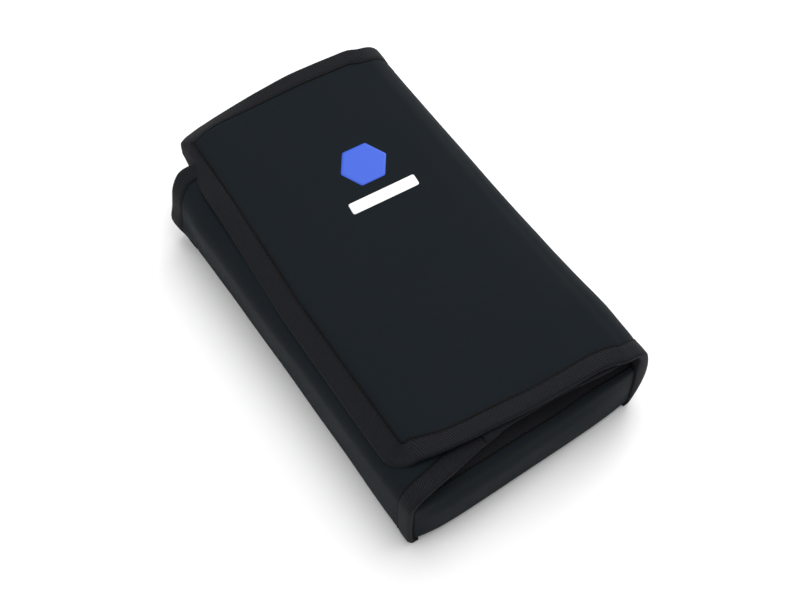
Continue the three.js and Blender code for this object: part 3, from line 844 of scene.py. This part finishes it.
def left_bulge(u, v):
    set_in = left_foot_line(v) * (1 - smooth_step(u / (42 * MM)))
    far_end = smooth_step((v - FAR + FLARE_LENGTH) / FLARE_LENGTH)
    flare = hump(u, 4.0 * MM, 13 * MM, 8 * MM) - hump(u, 3.0 * MM, 42 * MM, 11 * MM)
    return wall_bulge(left, u, v)[1] + set_in + far_end * flare + 0.3 * MM * slow_noise(u, v, 8, 80 * MM)


left.bulge = left_bulge
left.puff = lambda u, v: crown(left, u, v, 0.3 * MM, 0.4 * MM, 30 * MM)

# The taped hem of the cover's pocket, under the cover's near edge. Its near edge is given
# in millimetres, at places across the cover and inward from the near end.
HEM_EDGE = ((68, 1.5), (60, 0.8), (49, 1.8), (35, 4.2), (20, 6.3), (-6, 7.8), (-24, 7.0))
HEM_THICKNESS, HEM_WIDTH = 1.4 * MM, 13 * MM
hem_span = right.u_at(HEM_EDGE[0][0] * MM), right.u_at(HEM_EDGE[-1][0] * MM)
hem = Layer(right, hem_span, None, None, PANEL + 0.4 * MM, HEM_THICKNESS)
hem.near_edge = knots(*zip(*sorted((right.u_at(x * MM), NEAR + y * MM) for x, y in HEM_EDGE)))
hem.far_edge = lambda u: hem.near_edge(u) + HEM_WIDTH

# The base, its outer face downwards
base = Cloth(1, np.stack([np.linspace(-1, 1, 60) * (HALF_WIDTH - FOOT_RADIUS), np.zeros(60)], -1),
             constant(NEAR + FOOT_RADIUS), constant(FAR))

# The end flap, made lengthwise and then turned to stand at the near end. Its taped
# top leans in over the tools.
FLAP_LEAN = math.radians(65)
FLAP_TOP_RADIUS = 4 * MM
FLAP_RIM = 11 * MM
FLAP_FOLLOWS = 0.7  # how much of the walls' bulge the flap's ends follow
flap_half = high("end_flap_tape")[0]
flap_turn = np.linspace(0, FLAP_LEAN, 16)
flap_rise = high("end_flap_tape")[2] - FLAP_TOP_RADIUS
flap_wall = np.stack([np.full(FOLD_STEPS, -NEAR), np.linspace(FOOT_RADIUS, flap_rise, FOLD_STEPS)], -1)
flap_arc = np.array([-NEAR - FLAP_TOP_RADIUS, flap_rise]) + FLAP_TOP_RADIUS * np.stack(
    [np.cos(flap_turn), np.sin(flap_turn)], -1)
rim_direction = np.array([-math.sin(FLAP_LEAN), math.cos(FLAP_LEAN)])
flap_rim = flap_arc[-1] + np.linspace(0, FLAP_RIM, 20)[1:, None] * rim_direction
flap = Cloth(1, np.concatenate([flap_wall, flap_arc[1:], flap_rim]),
             lambda u: -flap_half - FLAP_FOLLOWS * left.bulge(np.minimum(u, WALL_SPAN), NEAR),
             lambda u: flap_half + FLAP_FOLLOWS * right.bulge(np.minimum(u, WALL_SPAN), NEAR),
             (0.5 * MM, 0.5 * MM), turned=True)
flap.stretch = knots([x * MM for x in (-80, -62, -40, -5, 23, 50, 80)],
                     (0.96, 0.98, 1.02, 1.0, 0.95, 0.99, 0.97), 20 * MM)


def flap_belly(u, v):
    ends = np.clip(1 - (np.abs(v) / flap_half) ** 6, 0, 1)
    fullness = 1 - 0.3 * v / flap_half
    belly = (2.8 + 1.2 * np.sin(np.pi * np.clip(u / (40 * MM), 0, 1))) * MM * ends * fullness
    return belly * (1 - 0.75 * smooth_step((u - 22 * MM) / (20 * MM)))


def flap_inner(u, v):
    return INNER_BULGE * np.tanh(flap_belly(u, v) / INNER_BULGE)


def flap_bulge(u, v):
    return flap_inner(u, v) + 0.3 * MM * smooth_step(u / (10 * MM)) * slow_noise(u, v, 21, 60 * MM)


flap.bulge = flap_bulge
flap.puff = lambda u, v: flap_belly(u, v) - flap_inner(u, v)

right_foot = foot_of(right, foot_section(1), 1)
left_foot = foot_of(left, foot_section(-1), -1)
flap_foot = foot_of(flap, foot_section(1, edge=-NEAR), 1)


def slotted_piece(piece, material_slot, nodes):
    """Hide the CAD nodes that a piece stands for; its material slot is not used."""
    if nodes:
        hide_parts(*nodes)
    return piece


def fixed(piece, body, material_slot, *nodes):
    """A piece that rides on one body."""
    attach(piece, body)
    return slotted_piece(piece, material_slot, nodes)


def folding(piece, bodies, line, material_slot, *nodes):
    """A piece with its transform baked in and the CAD nodes that it stands for hidden."""
    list(bodies)
    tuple(line[0])
    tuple(line[1])
    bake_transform(piece)
    return slotted_piece(piece, material_slot, nodes)


# Two points across each fold
COVER_LINE = ((HALF_WIDTH - 3 * MM, 0, COVER_TOP - 10 * MM), (HALF_WIDTH - 10 * MM, 0, COVER_TOP - 3 * MM))
TUCK_LINE = ((3 * MM - HALF_WIDTH, 0, TUCK_TOP - 9.3 * MM), (10 * MM - HALF_WIDTH, 0, TUCK_TOP - 2.3 * MM))
RIGHT_FOOT_LINE = ((HALF_WIDTH - 5 * MM, 0, 3 * MM), (HALF_WIDTH - 3 * MM, 0, 5 * MM))
LEFT_FOOT_LINE = ((5 * MM - HALF_WIDTH, 0, 3 * MM), (3 * MM - HALF_WIDTH, 0, 5 * MM))
FLAP_FOOT_LINE = ((0, NEAR + 5 * MM, 3 * MM), (0, NEAR + 3 * MM, 5 * MM))


def folded_panel(name, cloth, rows, columns, bodies, line):
    """The cloth, tape and stitches of a panel that bends between a wall and its flap."""
    wall, flap_body = bodies
    panel = folding(cloth_panel(name + "_cloth", cloth, rows, columns), bodies, line, "nylon_cloth",
                    wall, flap_body)
    tape = folding(binding(name + "_binding", cloth), bodies, line, "binding_tape",
                   flap_body + "_tape", wall + "_near_tape", wall + "_far_tape")
    folding(edge_stitches(name + "_stitches", cloth), bodies, line, "binding_tape")
    return panel, tape


cover_cloth, cover_binding = folded_panel("cover", right, 130, 120, ("right_wall", "cover"), COVER_LINE)
tuck_cloth, tuck_binding = folded_panel("tuck", left, 90, 110, ("left_wall", "tuck_flap"), TUCK_LINE)

base_cloth = fixed(cloth_panel("base_cloth", base, 60, 80), "base", "nylon_cloth", "base_panel")
base_binding = fixed(binding("base_binding", base, "far"), "base", "binding_tape", "base_far_tape")
# The bit case slides over this tape, so most of its rise is pressed down
PRESSED_SHARE = 0.65
for vertex in base_binding.data.vertices:
    vertex.co.z -= PRESSED_SHARE * max(0.0, vertex.co.z - PANEL)
fixed(edge_stitches("base_stitches", base, "far"), "base", "binding_tape")
flap_cloth = fixed(cloth_panel("end_flap_cloth", flap, 30, 90), "end_flap", "nylon_cloth", "end_flap")
flap_binding = fixed(binding("end_flap_binding", flap, "free"), "end_flap", "binding_tape", "end_flap_tape")
fixed(edge_stitches("end_flap_stitches", flap, "free"), "end_flap", "binding_tape")

for name, fold, bodies, line in (
    ("right_foot", right_foot, ("base", "right_wall"), RIGHT_FOOT_LINE),
    ("left_foot", left_foot, ("base", "left_wall"), LEFT_FOOT_LINE),
    ("end_flap_foot", flap_foot, ("base", "end_flap"), FLAP_FOOT_LINE),
):
    folding(cloth_panel(name + "_cloth", fold, 10, 110), bodies, line, "nylon_cloth")
    for end in () if fold is flap_foot else ("near", "far"):
        folding(binding(f"{name}_{end}_tape", fold, end), bodies, line, "binding_tape")

hem_cloth = fixed(cloth_panel("cover_hem_cloth", hem, 60, 8), "cover", "nylon_cloth")
hem_tape = fixed(binding("cover_hem_tape", hem, "near"), "cover", "binding_tape")


# The printed marks, flush on the cover's cloth

PRINT_TURN = 0.12  # radians
BADGE_RADIUS = 15.4 * MM


def print_outline(centre, shape):
    """A mark's outline in u and v, from points along and across it, turned as the print is."""
    along, across = np.asarray(shape).T
    dx = along * math.cos(PRINT_TURN) + across * math.sin(PRINT_TURN)
    dy = across * math.cos(PRINT_TURN) - along * math.sin(PRINT_TURN)
    return np.stack([right.u_at(centre[0]) - dx, centre[1] + dy], -1)


def rounded_polygon(corners, radius, steps=8):
    """A polygon's outline with round corners and evenly divided sides."""
    corners = np.asarray(corners, float)
    outline = []
    for before, corner, after in zip(np.roll(corners, 1, 0), corners, np.roll(corners, -1, 0)):
        to_before = (before - corner) / np.linalg.norm(before - corner)
        to_after = (after - corner) / np.linalg.norm(after - corner)
        start, end = corner + to_before * radius, corner + to_after * radius
        for t in np.linspace(0, 1, steps):
            outline.append((1 - t) ** 2 * start + 2 * t * (1 - t) * corner + t**2 * end)
        following = after + (corner - after) / np.linalg.norm(corner - after) * radius
        for t in np.linspace(0, 1, steps)[1:-1]:
            outline.append(end + (following - end) * t)
    return outline


BAR_SIZE = (44 * MM, 8 * MM)
PRINT_RISE, PRINT_DEPTH = 0.10 * MM, 0.3 * MM
sixths = [k * math.pi / 3 for k in range(6)]
hexagon = [(BADGE_RADIUS * math.cos(turn), BADGE_RADIUS * math.sin(turn)) for turn in sixths]
bar = [(sx * BAR_SIZE[0] / 2, sy * BAR_SIZE[1] / 2) for sx, sy in ((-1, -1), (1, -1), (1, 1), (-1, 1))]
for name, mark, radius, colour, print_slot in (
    ("badge_hexagon", hexagon, 1.2 * MM, blue_ink, "blue_print"),
    ("badge_bar", bar, 1.5 * MM, white_ink, "white_print"),
):
    outline = print_outline(middle(name), rounded_polygon(mark, radius))
    piece = patch(name + "_print", right, outline, -PRINT_RISE, PRINT_DEPTH, colour)
    fixed(piece, "cover", print_slot, name)


# Touch fastener strips, sewn to the tuck flap and inside the cover

FASTENER_INSET = 1.5 * MM


def fastener(name, cloth, top, bottom, material, down):
    x_low, x_high = low(name)[0], high(name)[0]
    u_range = sorted((cloth.u_at(x_low), cloth.u_at(x_high)))
    v_range = low(name)[1], high(name)[1]
    pad = strip(name + "_pad", cloth, u_range, v_range, top, bottom, material)
    u_low, v_low = u_range[0] + FASTENER_INSET, v_range[0] + FASTENER_INSET
    u_high, v_high = u_range[1] - FASTENER_INSET, v_range[1] - FASTENER_INSET
    border = [(u_low, v_low), (u_high, v_low), (u_high, v_high), (u_low, v_high)]
    line = np.array(rounded_polygon(border, 1 * MM, 40))
    line = np.concatenate([line, line[:1]])
    surface = top if not down else bottom
    up = cloth.normal(line[:, 0], line[:, 1]) * (-1 if down else 1)
    seam = stitches(name + "_stitches", cloth.place(line[:, 0], line[:, 1], surface), up)
    return joined(name + "_pad", [pad, seam])


fixed(fastener("loop_strip", left, -0.9 * MM, 0.2 * MM, loop_material, False),
      "tuck_flap", "hook_and_loop", "loop_strip")
fixed(fastener("hook_strip", right, PANEL - 0.2 * MM, PANEL + 0.9 * MM, hook_material, True),
      "cover", "hook_and_loop", "hook_strip")


# The rows of drivers

# Radius and distance from the blade's tip, in millimetres
HANDLE_FACE = [
    (0, 75.2), (3.4, 75.0), (4.1, 75.3), (4.7, 76.0), (5.1, 77.2), (5.1, 78.2), (4.8, 78.5), (4.8, 79.3),
    (5.3, 79.6), (6.3, 81.5), (7.5, 84.2), (8.4, 86.8), (8.85, 88.6), (9.0, 90.0),
    (9.0, 96.4), (8.55, 96.8), (8.55, 97.6), (9.0, 98.0), (9.0, 101.4), (8.55, 101.8), (8.55, 102.6),
    (9.0, 103.0), (9.0, 108.6), (8.85, 111.0), (8.4, 115.0), (7.8, 119.5), (7.35, 123.5), (7.2, 127.0),
    (7.2, 130.0), (7.45, 134.0), (7.95, 138.0), (8.4, 141.5), (8.6, 144.5), (8.6, 151.0), (8.6, 160.0),
    (8.6, 170.0), (8.6, 177.5), (8.2, 177.9), (8.2, 179.3), (8.6, 179.7), (8.6, 184.6),
    (8.3, 185.6), (7.6, 186.0), (0, 186.0),
]
CAP_FACE = [
    (0, 186.3), (7.4, 186.3), (8.1, 186.6), (8.6, 187.3), (8.6, 188.2), (8.6, 190.0), (8.6, 192.0),
    (8.6, 194.0), (8.6, 195.3), (8.35, 196.4), (7.6, 197.8), (6.4, 199.0), (5.0, 199.75),
    (4.4, 199.8), (3.6, 199.2),
    (1.8, 198.8), (0, 198.7),
]


def scaled(profile):
    return [(radius * MM, y * MM) for radius, y in profile]


def ribs(count, depth, start, end):
    """Ribs along part of a turned piece."""
    def shape(angle, y, radius):
        part = smooth_step((y - start) / MM) * smooth_step((end - y) / MM)
        return radius - depth * part * (0.5 - 0.5 * np.cos(count * angle)) ** 2
    return shape


def flutes(angle, y, radius):
    grip = ribs(24, 0.45 * MM, 90 * MM, 108.4 * MM)(angle, y, radius)
    part = smooth_step((y - 146 * MM) / (6 * MM)) * smooth_step((174 * MM - y) / (6 * MM))
    return grip - 0.7 * MM * part * np.maximum(np.cos(6 * angle), 0) ** 2


def blade_profile(radius):
    steps = [0, 0.4, 1, 1.8, 2.8, 4, 5.4, 7, 9, 11, 40, 76]
    return [(0, 0)] + [(radius * (1.0 if y > 0.2 else 0.85), y * MM) for y in steps] + [(0, 76 * MM)]


def slotted(angle, y, radius):
    """A flat tip that swells into a round blade."""
    share = smooth_step(y / (9 * MM))
    thick = radius * (0.22 + 0.78 * share)
    wide = radius * (0.95 + 0.05 * share)
    sharpness, least = 6, 1e-9
    sides = (np.abs(np.cos(angle)) / wide) ** sharpness + (np.abs(np.sin(angle)) / thick) ** sharpness
    return 1 / (sides + least) ** (1 / sharpness) * (1 - share) + radius * share


def crossed(angle, y, radius):
    """A tip with four wings."""
    share = smooth_step(y / (6 * MM))
    taper = np.clip(0.35 + y / (4.5 * MM), 0, 1)
    return radius * (share + (1 - share) * taper * (0.5 + 0.5 * np.abs(np.cos(2 * angle)) ** 1.5))


def starred(angle, y, radius):
    """A tip with six lobes."""
    share = smooth_step((y - 2 * MM) / (5 * MM))
    return radius * (share + (1 - share) * (0.78 + 0.14 * np.cos(6 * angle)))


TIPS = (slotted, crossed, starred)
cap_ribs = ribs(32, 0.35 * MM, 188 * MM, 195.2 * MM)


def driver(row, index):
    name = f"{row}_driver_{index + 1}"
    centre = middle(name + "_handle")
    tip = low(name + "_blade")[1]
    blade_radius = (high(name + "_blade")[0] - low(name + "_blade")[0]) / 2
    pieces = (
        (turned(name + "_grip", scaled(HANDLE_FACE), 96, handle_material, flutes), name,
         "driver_handle", "_handle"),
        (turned(name + "_swivel", scaled(CAP_FACE), 96, cap_material, cap_ribs), name + "_cap",
         "swivel_cap", "_cap"),
        (turned(name + "_shaft", blade_profile(blade_radius), 48, steel_material, TIPS[index]), name,
         "steel_blade", "_blade"),
    )
    for piece, body, material_slot, node_end in pieces:
        piece.location = (centre[0], tip, centre[2])
        fixed(piece, body, material_slot, name + node_end)
    return centre


DRIVER_STAND = 9.7 * MM  # a driver's axis above its panel's lining


class Row:
    """A row of drivers on a panel's lining, in coordinates s across the row and h off the lining."""

    def __init__(self, name, body, outward):
        self.name, self.body = name, body
        centres = np.array([driver(name, index) for index in range(3)])
        self.across = (centres[2] - centres[0]) / np.linalg.norm(centres[2] - centres[0])
        self.off = outward * np.array([-self.across[2], 0, self.across[0]])
        if self.off[2] * outward < 0:
            self.off = -self.off
        self.foot = centres[0] - self.off * DRIVER_STAND
        self.places = [float((c - centres[0]) @ self.across) for c in centres]
        self.tip = low(f"{name}_driver_1_blade")[1]

    def world(self, s, h, y):
        s, h, y = np.broadcast_arrays(s, h, y)
        points = self.foot + s[..., None] * self.across + h[..., None] * self.off
        points[..., 1] = y
        return points


def round_line(points, radius, steps=6):
    """An open polyline with its inner corners rounded."""
    points = np.asarray(points, float)
    line = [points[0]]
    for before, corner, after in zip(points, points[1:], points[2:]):
        near_side, far_side = before - corner, after - corner
        reach = min(radius, np.linalg.norm(near_side) / 2.01, np.linalg.norm(far_side) / 2.01)
        start = corner + near_side / np.linalg.norm(near_side) * reach
        end = corner + far_side / np.linalg.norm(far_side) * reach
        for t in np.linspace(0, 1, steps):
            line.append((1 - t) ** 2 * start + 2 * t * (1 - t) * corner + t**2 * end)
    line.append(points[-1])
    return np.array(line)


def webbing(name, row, line, y_range, thickness, material, sag=0.25 * MM):
    """A band that follows a line in the row's section, from one Y to another."""
    line = np.asarray(line)
    at = np.concatenate([[0], np.cumsum(np.linalg.norm(np.diff(line, axis=0), axis=1))])
    tangent = np.gradient(line, at, axis=0)
    tangent /= np.linalg.norm(tangent, axis=1)[:, None]
    normal = np.stack([-tangent[:, 1], tangent[:, 0]], -1)
    share = np.linspace(0, 1, 16)
    y = y_range[0] + (y_range[1] - y_range[0]) * share
    off_middle = 2 * np.abs(share - 0.5)
    thin = thickness / 2 * (1 - 0.55 * off_middle ** 12)
    dip = sag * off_middle ** 2
    grids = []
    for side in (1, -1):
        s = line[:, :1] + normal[:, :1] * (side * thin - dip)
        h = line[:, 1:] + normal[:, 1:] * (side * thin - dip)
        grids.append(row.world(s, h, y))
    uv = np.stack(np.broadcast_arrays(y, at[:, None]), -1)
    return solid_from_grids(name, grids[0], grids[1], material, uv)


ELASTIC_THICKNESS = 1.1 * MM
ELASTIC_FOOT = 0.85 * MM  # the elastic's middle line above the lining, where it is sewn down
ELASTIC_RADIUS = 9.9 * MM  # the middle line's radius about a handle


def elastic_line(places, foot, radius):
    """The elastic's middle line over each handle and down to the lining between them."""
    margin = radius + 3.0 * MM
    points = [(places[0] - margin, foot)]
    for place in places:
        points.append((place - radius, foot))
        turn = np.linspace(np.pi, 0, 21)
        points += [(place + radius * np.cos(t), DRIVER_STAND + radius * np.sin(t)) for t in turn]
        points.append((place + radius, foot))
    points.append((places[-1] + margin, foot))
    return round_line(points, 1.2 * MM, 4)


def row_seams(row, places, y_range, foot):
    """Stitches along Y that hold a band down at the given places."""
    seams = []
    y = np.linspace(*y_range, 12)
    up = np.broadcast_to(row.off, (12, 3))
    for k, s in enumerate(places):
        seams.append(stitches(f"{row.name}_seam_{k}", row.world(s + 0 * y, foot + 0 * y, y), up))
    return seams


CELL_HALF = 8.0 * MM
BLADE_ROOM = 4.6 * MM  # how far a pocket rises above its blades' axes
NOSE_LENGTH = 9 * MM
HEM_ROWS = 12


def between(places):
    return [(a + b) / 2 for a, b in zip(places, places[1:])]


def tip_pocket(row):
    """Cloth sewn down between the blades, closed beyond their tips and hemmed where they go in."""
    places = row.places
    start, end = low(row.name + "_tip_pocket")[1], high(row.name + "_tip_pocket")[1]
    half = CELL_HALF + 0.4 * MM
    s = np.linspace(places[0] - half, places[-1] + half, 130)
    offset = np.min([np.abs(s - place) for place in places], axis=0)
    swell = np.cos(np.pi / 2 * np.clip(offset / CELL_HALF, 0, 1)) ** 0.8
    share = np.linspace(0, 1, 60)
    y = start + (end - start) * share
    nose = np.sqrt(np.clip(1 - np.clip((start + NOSE_LENGTH - y) / NOSE_LENGTH, 0, 1) ** 2, 0, 1))
    height = 0.5 * MM + swell[:, None] * nose * (DRIVER_STAND + BLADE_ROOM)
    height = height + 0.25 * MM * slow_noise(s[:, None], y, 12, 18 * MM) * swell[:, None]
    s_grid, y_grid = np.broadcast_arrays(s[:, None], y)
    outer = row.world(s_grid, height + 1.0 * MM, y_grid)
    inner = row.world(s_grid, np.maximum(height - 0.1 * MM, 0.2 * MM), y_grid)
    uv = np.stack([s_grid, y_grid], -1)
    pocket = solid_from_grids(row.name + "_pocket", outer, inner, cloth_material, uv)
    fixed(pocket, row.body, "nylon_cloth", row.name + "_tip_pocket")
    hem_s, hem_y, hem_height = (grid[:, -HEM_ROWS:] for grid in (s_grid, y_grid + 0.5 * MM, height))
    tape_outer = row.world(hem_s, hem_height + 1.5 * MM, hem_y)
    tape_inner = row.world(hem_s, hem_height + 0.8 * MM, hem_y)
    hem_uv = uv[:, -HEM_ROWS:, ::-1]
    hem_band = solid_from_grids(row.name + "_pocket_hem", tape_outer, tape_inner, tape_material, hem_uv)
    fixed(hem_band, row.body, "binding_tape")
    inset = half - 1.2 * MM
    edges = [places[0] - inset, *between(places), places[-1] + inset]
    seams = row_seams(row, edges, (start + 1 * MM, end - 1 * MM), 1.75 * MM)
    fixed(joined(row.name + "_pocket_stitches", seams), row.body, "binding_tape")
    return pocket, hem_band


def elastic_band(row):
    y_range = low(row.name + "_elastic")[1], high(row.name + "_elastic")[1]
    line = elastic_line(row.places, ELASTIC_FOOT, ELASTIC_RADIUS)
    band = webbing(row.name + "_elastic_band", row, line, y_range, ELASTIC_THICKNESS, elastic_material)
    fixed(band, row.body, "elastic_webbing", row.name + "_elastic")
    reach = ELASTIC_RADIUS + 1.7 * MM
    edges = [row.places[0] - reach, *between(row.places), row.places[-1] + reach]
    seams = row_seams(row, edges, (y_range[0] + 1 * MM, y_range[1] - 1 * MM), 1.5 * MM)
    fixed(joined(row.name + "_elastic_stitches", seams), row.body, "binding_tape")
    return band


rows = [Row("base", "base", 1), Row("flap", "tuck_flap", -1), Row("cover", "cover", -1)]
pockets = [tip_pocket(row) for row in rows]
elastics = [elastic_band(row) for row in rows]


# The bit case

def rounded_loop(low_corner, high_corner, radius, count=12, sides=(20, 20)):
    """A rectangle with round corners as a loop of points, anticlockwise, its long sides divided."""
    loop = []
    for k, (cx, cy) in enumerate(((1, 1), (0, 1), (0, 0), (1, 0))):
        x = (high_corner[0] - radius) if cx else (low_corner[0] + radius)
        y = (high_corner[1] - radius) if cy else (low_corner[1] + radius)
        for t in np.linspace(k * np.pi / 2, (k + 1) * np.pi / 2, count):
            loop.append((x + radius * math.cos(t), y + radius * math.sin(t)))
    loop, result = np.array(loop), []
    for k, (a, b) in enumerate(zip(loop, np.roll(loop, -1, 0))):
        steps = sides[k // count % 2] if k % count == count - 1 else 1
        result += [a + (b - a) * j / steps for j in range(steps)]
    return np.array(result)


def lofted(name, loops, material):
    """A closed piece through loops of points, its first and last loop filled in."""
    loops = np.asarray(loops)
    levels, count = loops.shape[:2]
    faces = grid_faces(levels, count, wrap_columns=True)
    faces += [tuple(range(count)), tuple((levels - 1) * count + k for k in range(count))]
    uv = loops.reshape(-1, 3)[:, :2]
    return make_mesh(name, loops.reshape(-1, 3), faces, material, uvs=uv)


CASE_CORNER = 3.6 * MM
CASE_RIB_PITCH, CASE_RIB_DEPTH = 3.2 * MM, 0.5 * MM


def sleeve():
    """The bit case's outer shell, open at its far end, with ribbed sides."""
    near, far = low("bit_case_sleeve"), high("bit_case_sleeve")
    wall = 2 * MM

    def loop(y, inset, radius, ribbed=False):
        flat = rounded_loop((near[0] + inset, near[2] + inset), (far[0] - inset, far[2] - inset), radius)
        if ribbed:
            middle_z = (near[2] + far[2]) / 2
            part = smooth_step((9 * MM - np.abs(flat[:, 1] - middle_z)) / MM)
            aside = flat[:, 0] - (near[0] + far[0]) / 2
            side = np.abs(aside) > (far[0] - near[0]) / 2 - inset - 0.5 * MM
            dip = CASE_RIB_DEPTH * (0.5 - 0.5 * math.cos(2 * math.pi * y / CASE_RIB_PITCH)) * part * side
            flat[:, 0] -= np.sign(aside) * dip
        return np.stack([flat[:, 0], np.full(len(flat), y), flat[:, 1]], -1)

    outside = [loop(near[1] + y * MM, inset * MM, (3.6 - inset) * MM) for y, inset in (
        (0, 1.4), (0.25, 0.8), (0.8, 0.25), (1.6, 0), (10, 0))]
    outside += [loop(near[1] + y * MM, 0, CASE_CORNER, True) for y in np.arange(104.0, 139.9, 0.4)]
    outside += [loop(far[1] - 0.5 * MM, 0, CASE_CORNER), loop(far[1], 0.5 * MM, 3.1 * MM)]
    inside = [loop(far[1] - y * MM, wall - inset * MM, 2.0 * MM) for y, inset in ((0, 0.4), (0.5, 0))]
    inside += [loop(near[1] + wall, wall, 2.0 * MM)]
    return lofted("bit_case_shell", outside + inside, case_material)


def tray():
    """The drawer in the bit case, its pull end taller and with a finger notch."""
    near, far = low("bit_tray"), high("bit_tray")
    wall, side_height, notch, corner, bevel = 1.8 * MM, 10 * MM, 10 * MM, 2.5 * MM, 0.3 * MM
    outer = rounded_loop(near[:2], far[:2], corner, 8, (60, 50))
    centre_x = (near[0] + far[0]) / 2

    def rim(flat):
        tall = smooth_step((flat[:, 1] - far[1] + 7 * MM) / (5 * MM))
        height = side_height + (far[2] - near[2] - side_height) * tall
        cut = np.sqrt(np.maximum(notch**2 - (flat[:, 0] - centre_x) ** 2, 0)) * (tall > 0.9)
        return height - cut

    def level(inset, share, drop=0.0):
        box_low, box_high = near[:2] + inset, far[:2] - inset
        flat = np.clip(outer, box_low, box_high)
        height = near[2] + drop + (rim(outer) - drop) * share
        return np.stack([flat[:, 0], flat[:, 1], height], -1)

    shares = np.linspace(0, 1, 7)
    levels = [level(0.6 * MM, 0), *[level(0, share) for share in (0.04, *shares[1:-1], 0.98)]]
    levels += [level(bevel, 1), level(wall - bevel, 1)]
    levels += [level(wall, share, wall) for share in (0.97, *shares[-2:0:-1], 0.0)]
    return lofted("bit_tray_drawer", levels, tray_material)


def bit_shape(tip):
    """A hexagonal shank below a round neck and a driver tip, which is at y = 0."""
    def shape(angle, y, radius):
        turn = (angle % (math.pi / 3)) - math.pi / 6
        hexagonal = radius * math.cos(math.pi / 6) / np.cos(turn)
        shank = smooth_step((y - 8.5 * MM) / (1 * MM))
        return np.where(y > 7 * MM, hexagonal * shank + radius * (1 - shank), tip(angle, y, radius))
    return shape


COLLAR_FACE = [(0, 0), (3.5, 0), (3.5, 0.4), (3.2, 0.7), (0, 0.7)]
BIT_COUNT = 8
RAIL_HEIGHT = 8 * MM


def rail(index):
    """A rail of bits: a bevelled bar with collared holes, and eight different bits."""
    node_name = f"bit_rail_{index}"
    near, far = low(node_name), high(node_name)
    height, rail_top, bevel = far[2] - near[2], near[2] + RAIL_HEIGHT, 0.8
    centre_x = (near[0] + far[0]) / 2
    loops = []
    for y, inset in ((near[1], bevel), (near[1] + bevel * MM, 0), (far[1] - bevel * MM, 0), (far[1], bevel)):
        flat = rounded_loop((near[0] + inset * MM, near[2] + inset * MM),
                            (far[0] - inset * MM, rail_top - inset * MM), 1.2 * MM, 5, (3, 3))
        loops.append(np.stack([flat[:, 0], np.full(len(flat), y), flat[:, 1]], -1))
    parts = [lofted(f"{node_name}_bar", loops, steel_material)]
    for k in range(BIT_COUNT):
        y = near[1] + (far[1] - near[1]) * (k + 0.5) / BIT_COUNT
        neck = 1.15 + 0.1 * ((k * 3 + index) % 4)
        profile = [(0, 0), *[(neck, along) for along in (0, 0.6, 1.4, 2.6, 4, 6.9)], (2.2, 8.2),
                   *[(2.3, along) for along in (8.6, 9.4, 12, 17)], (0, 17)]
        shape = bit_shape(TIPS[(k + index) % 3])
        bit = turned(f"{node_name}_bit_{k}", scaled(profile), 48, bit_material, shape)
        collar = turned(f"{node_name}_collar_{k}", scaled(COLLAR_FACE), 32, steel_material)
        upright, over = Matrix.Rotation(math.pi / 2, 4, "X"), Matrix.Rotation(math.pi, 4, "X")
        bit.data.transform(Matrix.Translation((centre_x, y, near[2] + height)) @ upright @ over)
        collar.data.transform(Matrix.Translation((centre_x, y, rail_top - 0.05 * MM)) @ upright)
        parts += [bit, collar]
    return joined(f"{node_name}_set", parts)


fixed(sleeve(), "bit_case", "bit_case", "bit_case_sleeve")
fixed(tray(), "bit_tray", "bit_tray", "bit_tray")
for index in (1, 2, 3):
    fixed(rail(index), "bit_tray", "bits_and_rail", f"bit_rail_{index}")


def case_strap():
    """The elastic strap over the bit case, sewn down on both sides of it."""
    row = rows[0]
    node_low, node_high = low("bit_case_strap") - row.foot, high("bit_case_strap") - row.foot
    half, toe = ELASTIC_THICKNESS / 2, 0.8 * MM
    foot = 0.3 * MM + half
    top = node_high[2] - half
    left_side, right_side = node_low[0] + toe + half, node_high[0] - toe - half
    bends = [(node_low[0], foot), (left_side, foot), (left_side, top),
             ((left_side + right_side) / 2, top),
             (right_side, top), (right_side, foot), (node_high[0], foot)]
    line = round_line(bends, 2.5 * MM, 8)
    fine = [line[0]]
    for a, b in zip(line, line[1:]):
        count = max(int(np.linalg.norm(b - a) / (3 * MM)), 1)
        fine += [a + (b - a) * k / count for k in range(1, count + 1)]
    y_range = low("bit_case_strap")[1], high("bit_case_strap")[1]
    return webbing("case_strap", row, fine, y_range, 2 * half, elastic_material, sag=0.0), fine


strap, strap_line = case_strap()
fixed(strap, "base", "elastic_webbing", "bit_case_strap")


# What each piece of cloth was cut from

def panel_cut(cloth):
    u = np.linspace(0, cloth.length, 400)
    near, far = cloth.limits(u)
    size = (float(cloth.length), float((far - near).max()))
    return size, float(min(np.mean(far - near) * cloth.length, size[0] * size[1]))


def declare_panel(piece, cloth):
    size, area = panel_cut(cloth)


def line_length(line):
    return float(np.linalg.norm(np.diff(np.asarray(line), axis=0), axis=1).sum())


declare_panel(base_cloth, base)
declare_panel(cover_cloth, right)
declare_panel(tuck_cloth, left)
declare_panel(flap_cloth, flap)
under_rows = base_cloth, tuck_cloth, cover_cloth
for row, (pocket, hem_band), band, cloth_piece in zip(rows, pockets, elastics, under_rows):
    # Each cell's cloth rises over its blade and falls to the seams beside it
    cell_rise = DRIVER_STAND + BLADE_ROOM
    rise = [(s, 1.5 * MM + cell_rise * max(math.cos(math.pi / 2 * min(abs(s) / CELL_HALF, 1)), 0) ** 0.8)
            for s in np.linspace(-11 * MM, 11 * MM, 60)]
    3 * line_length(rise) - 5 * MM
    band_line = elastic_line(row.places, ELASTIC_FOOT, ELASTIC_RADIUS)
    line_length(band_line)
line_length(strap_line)
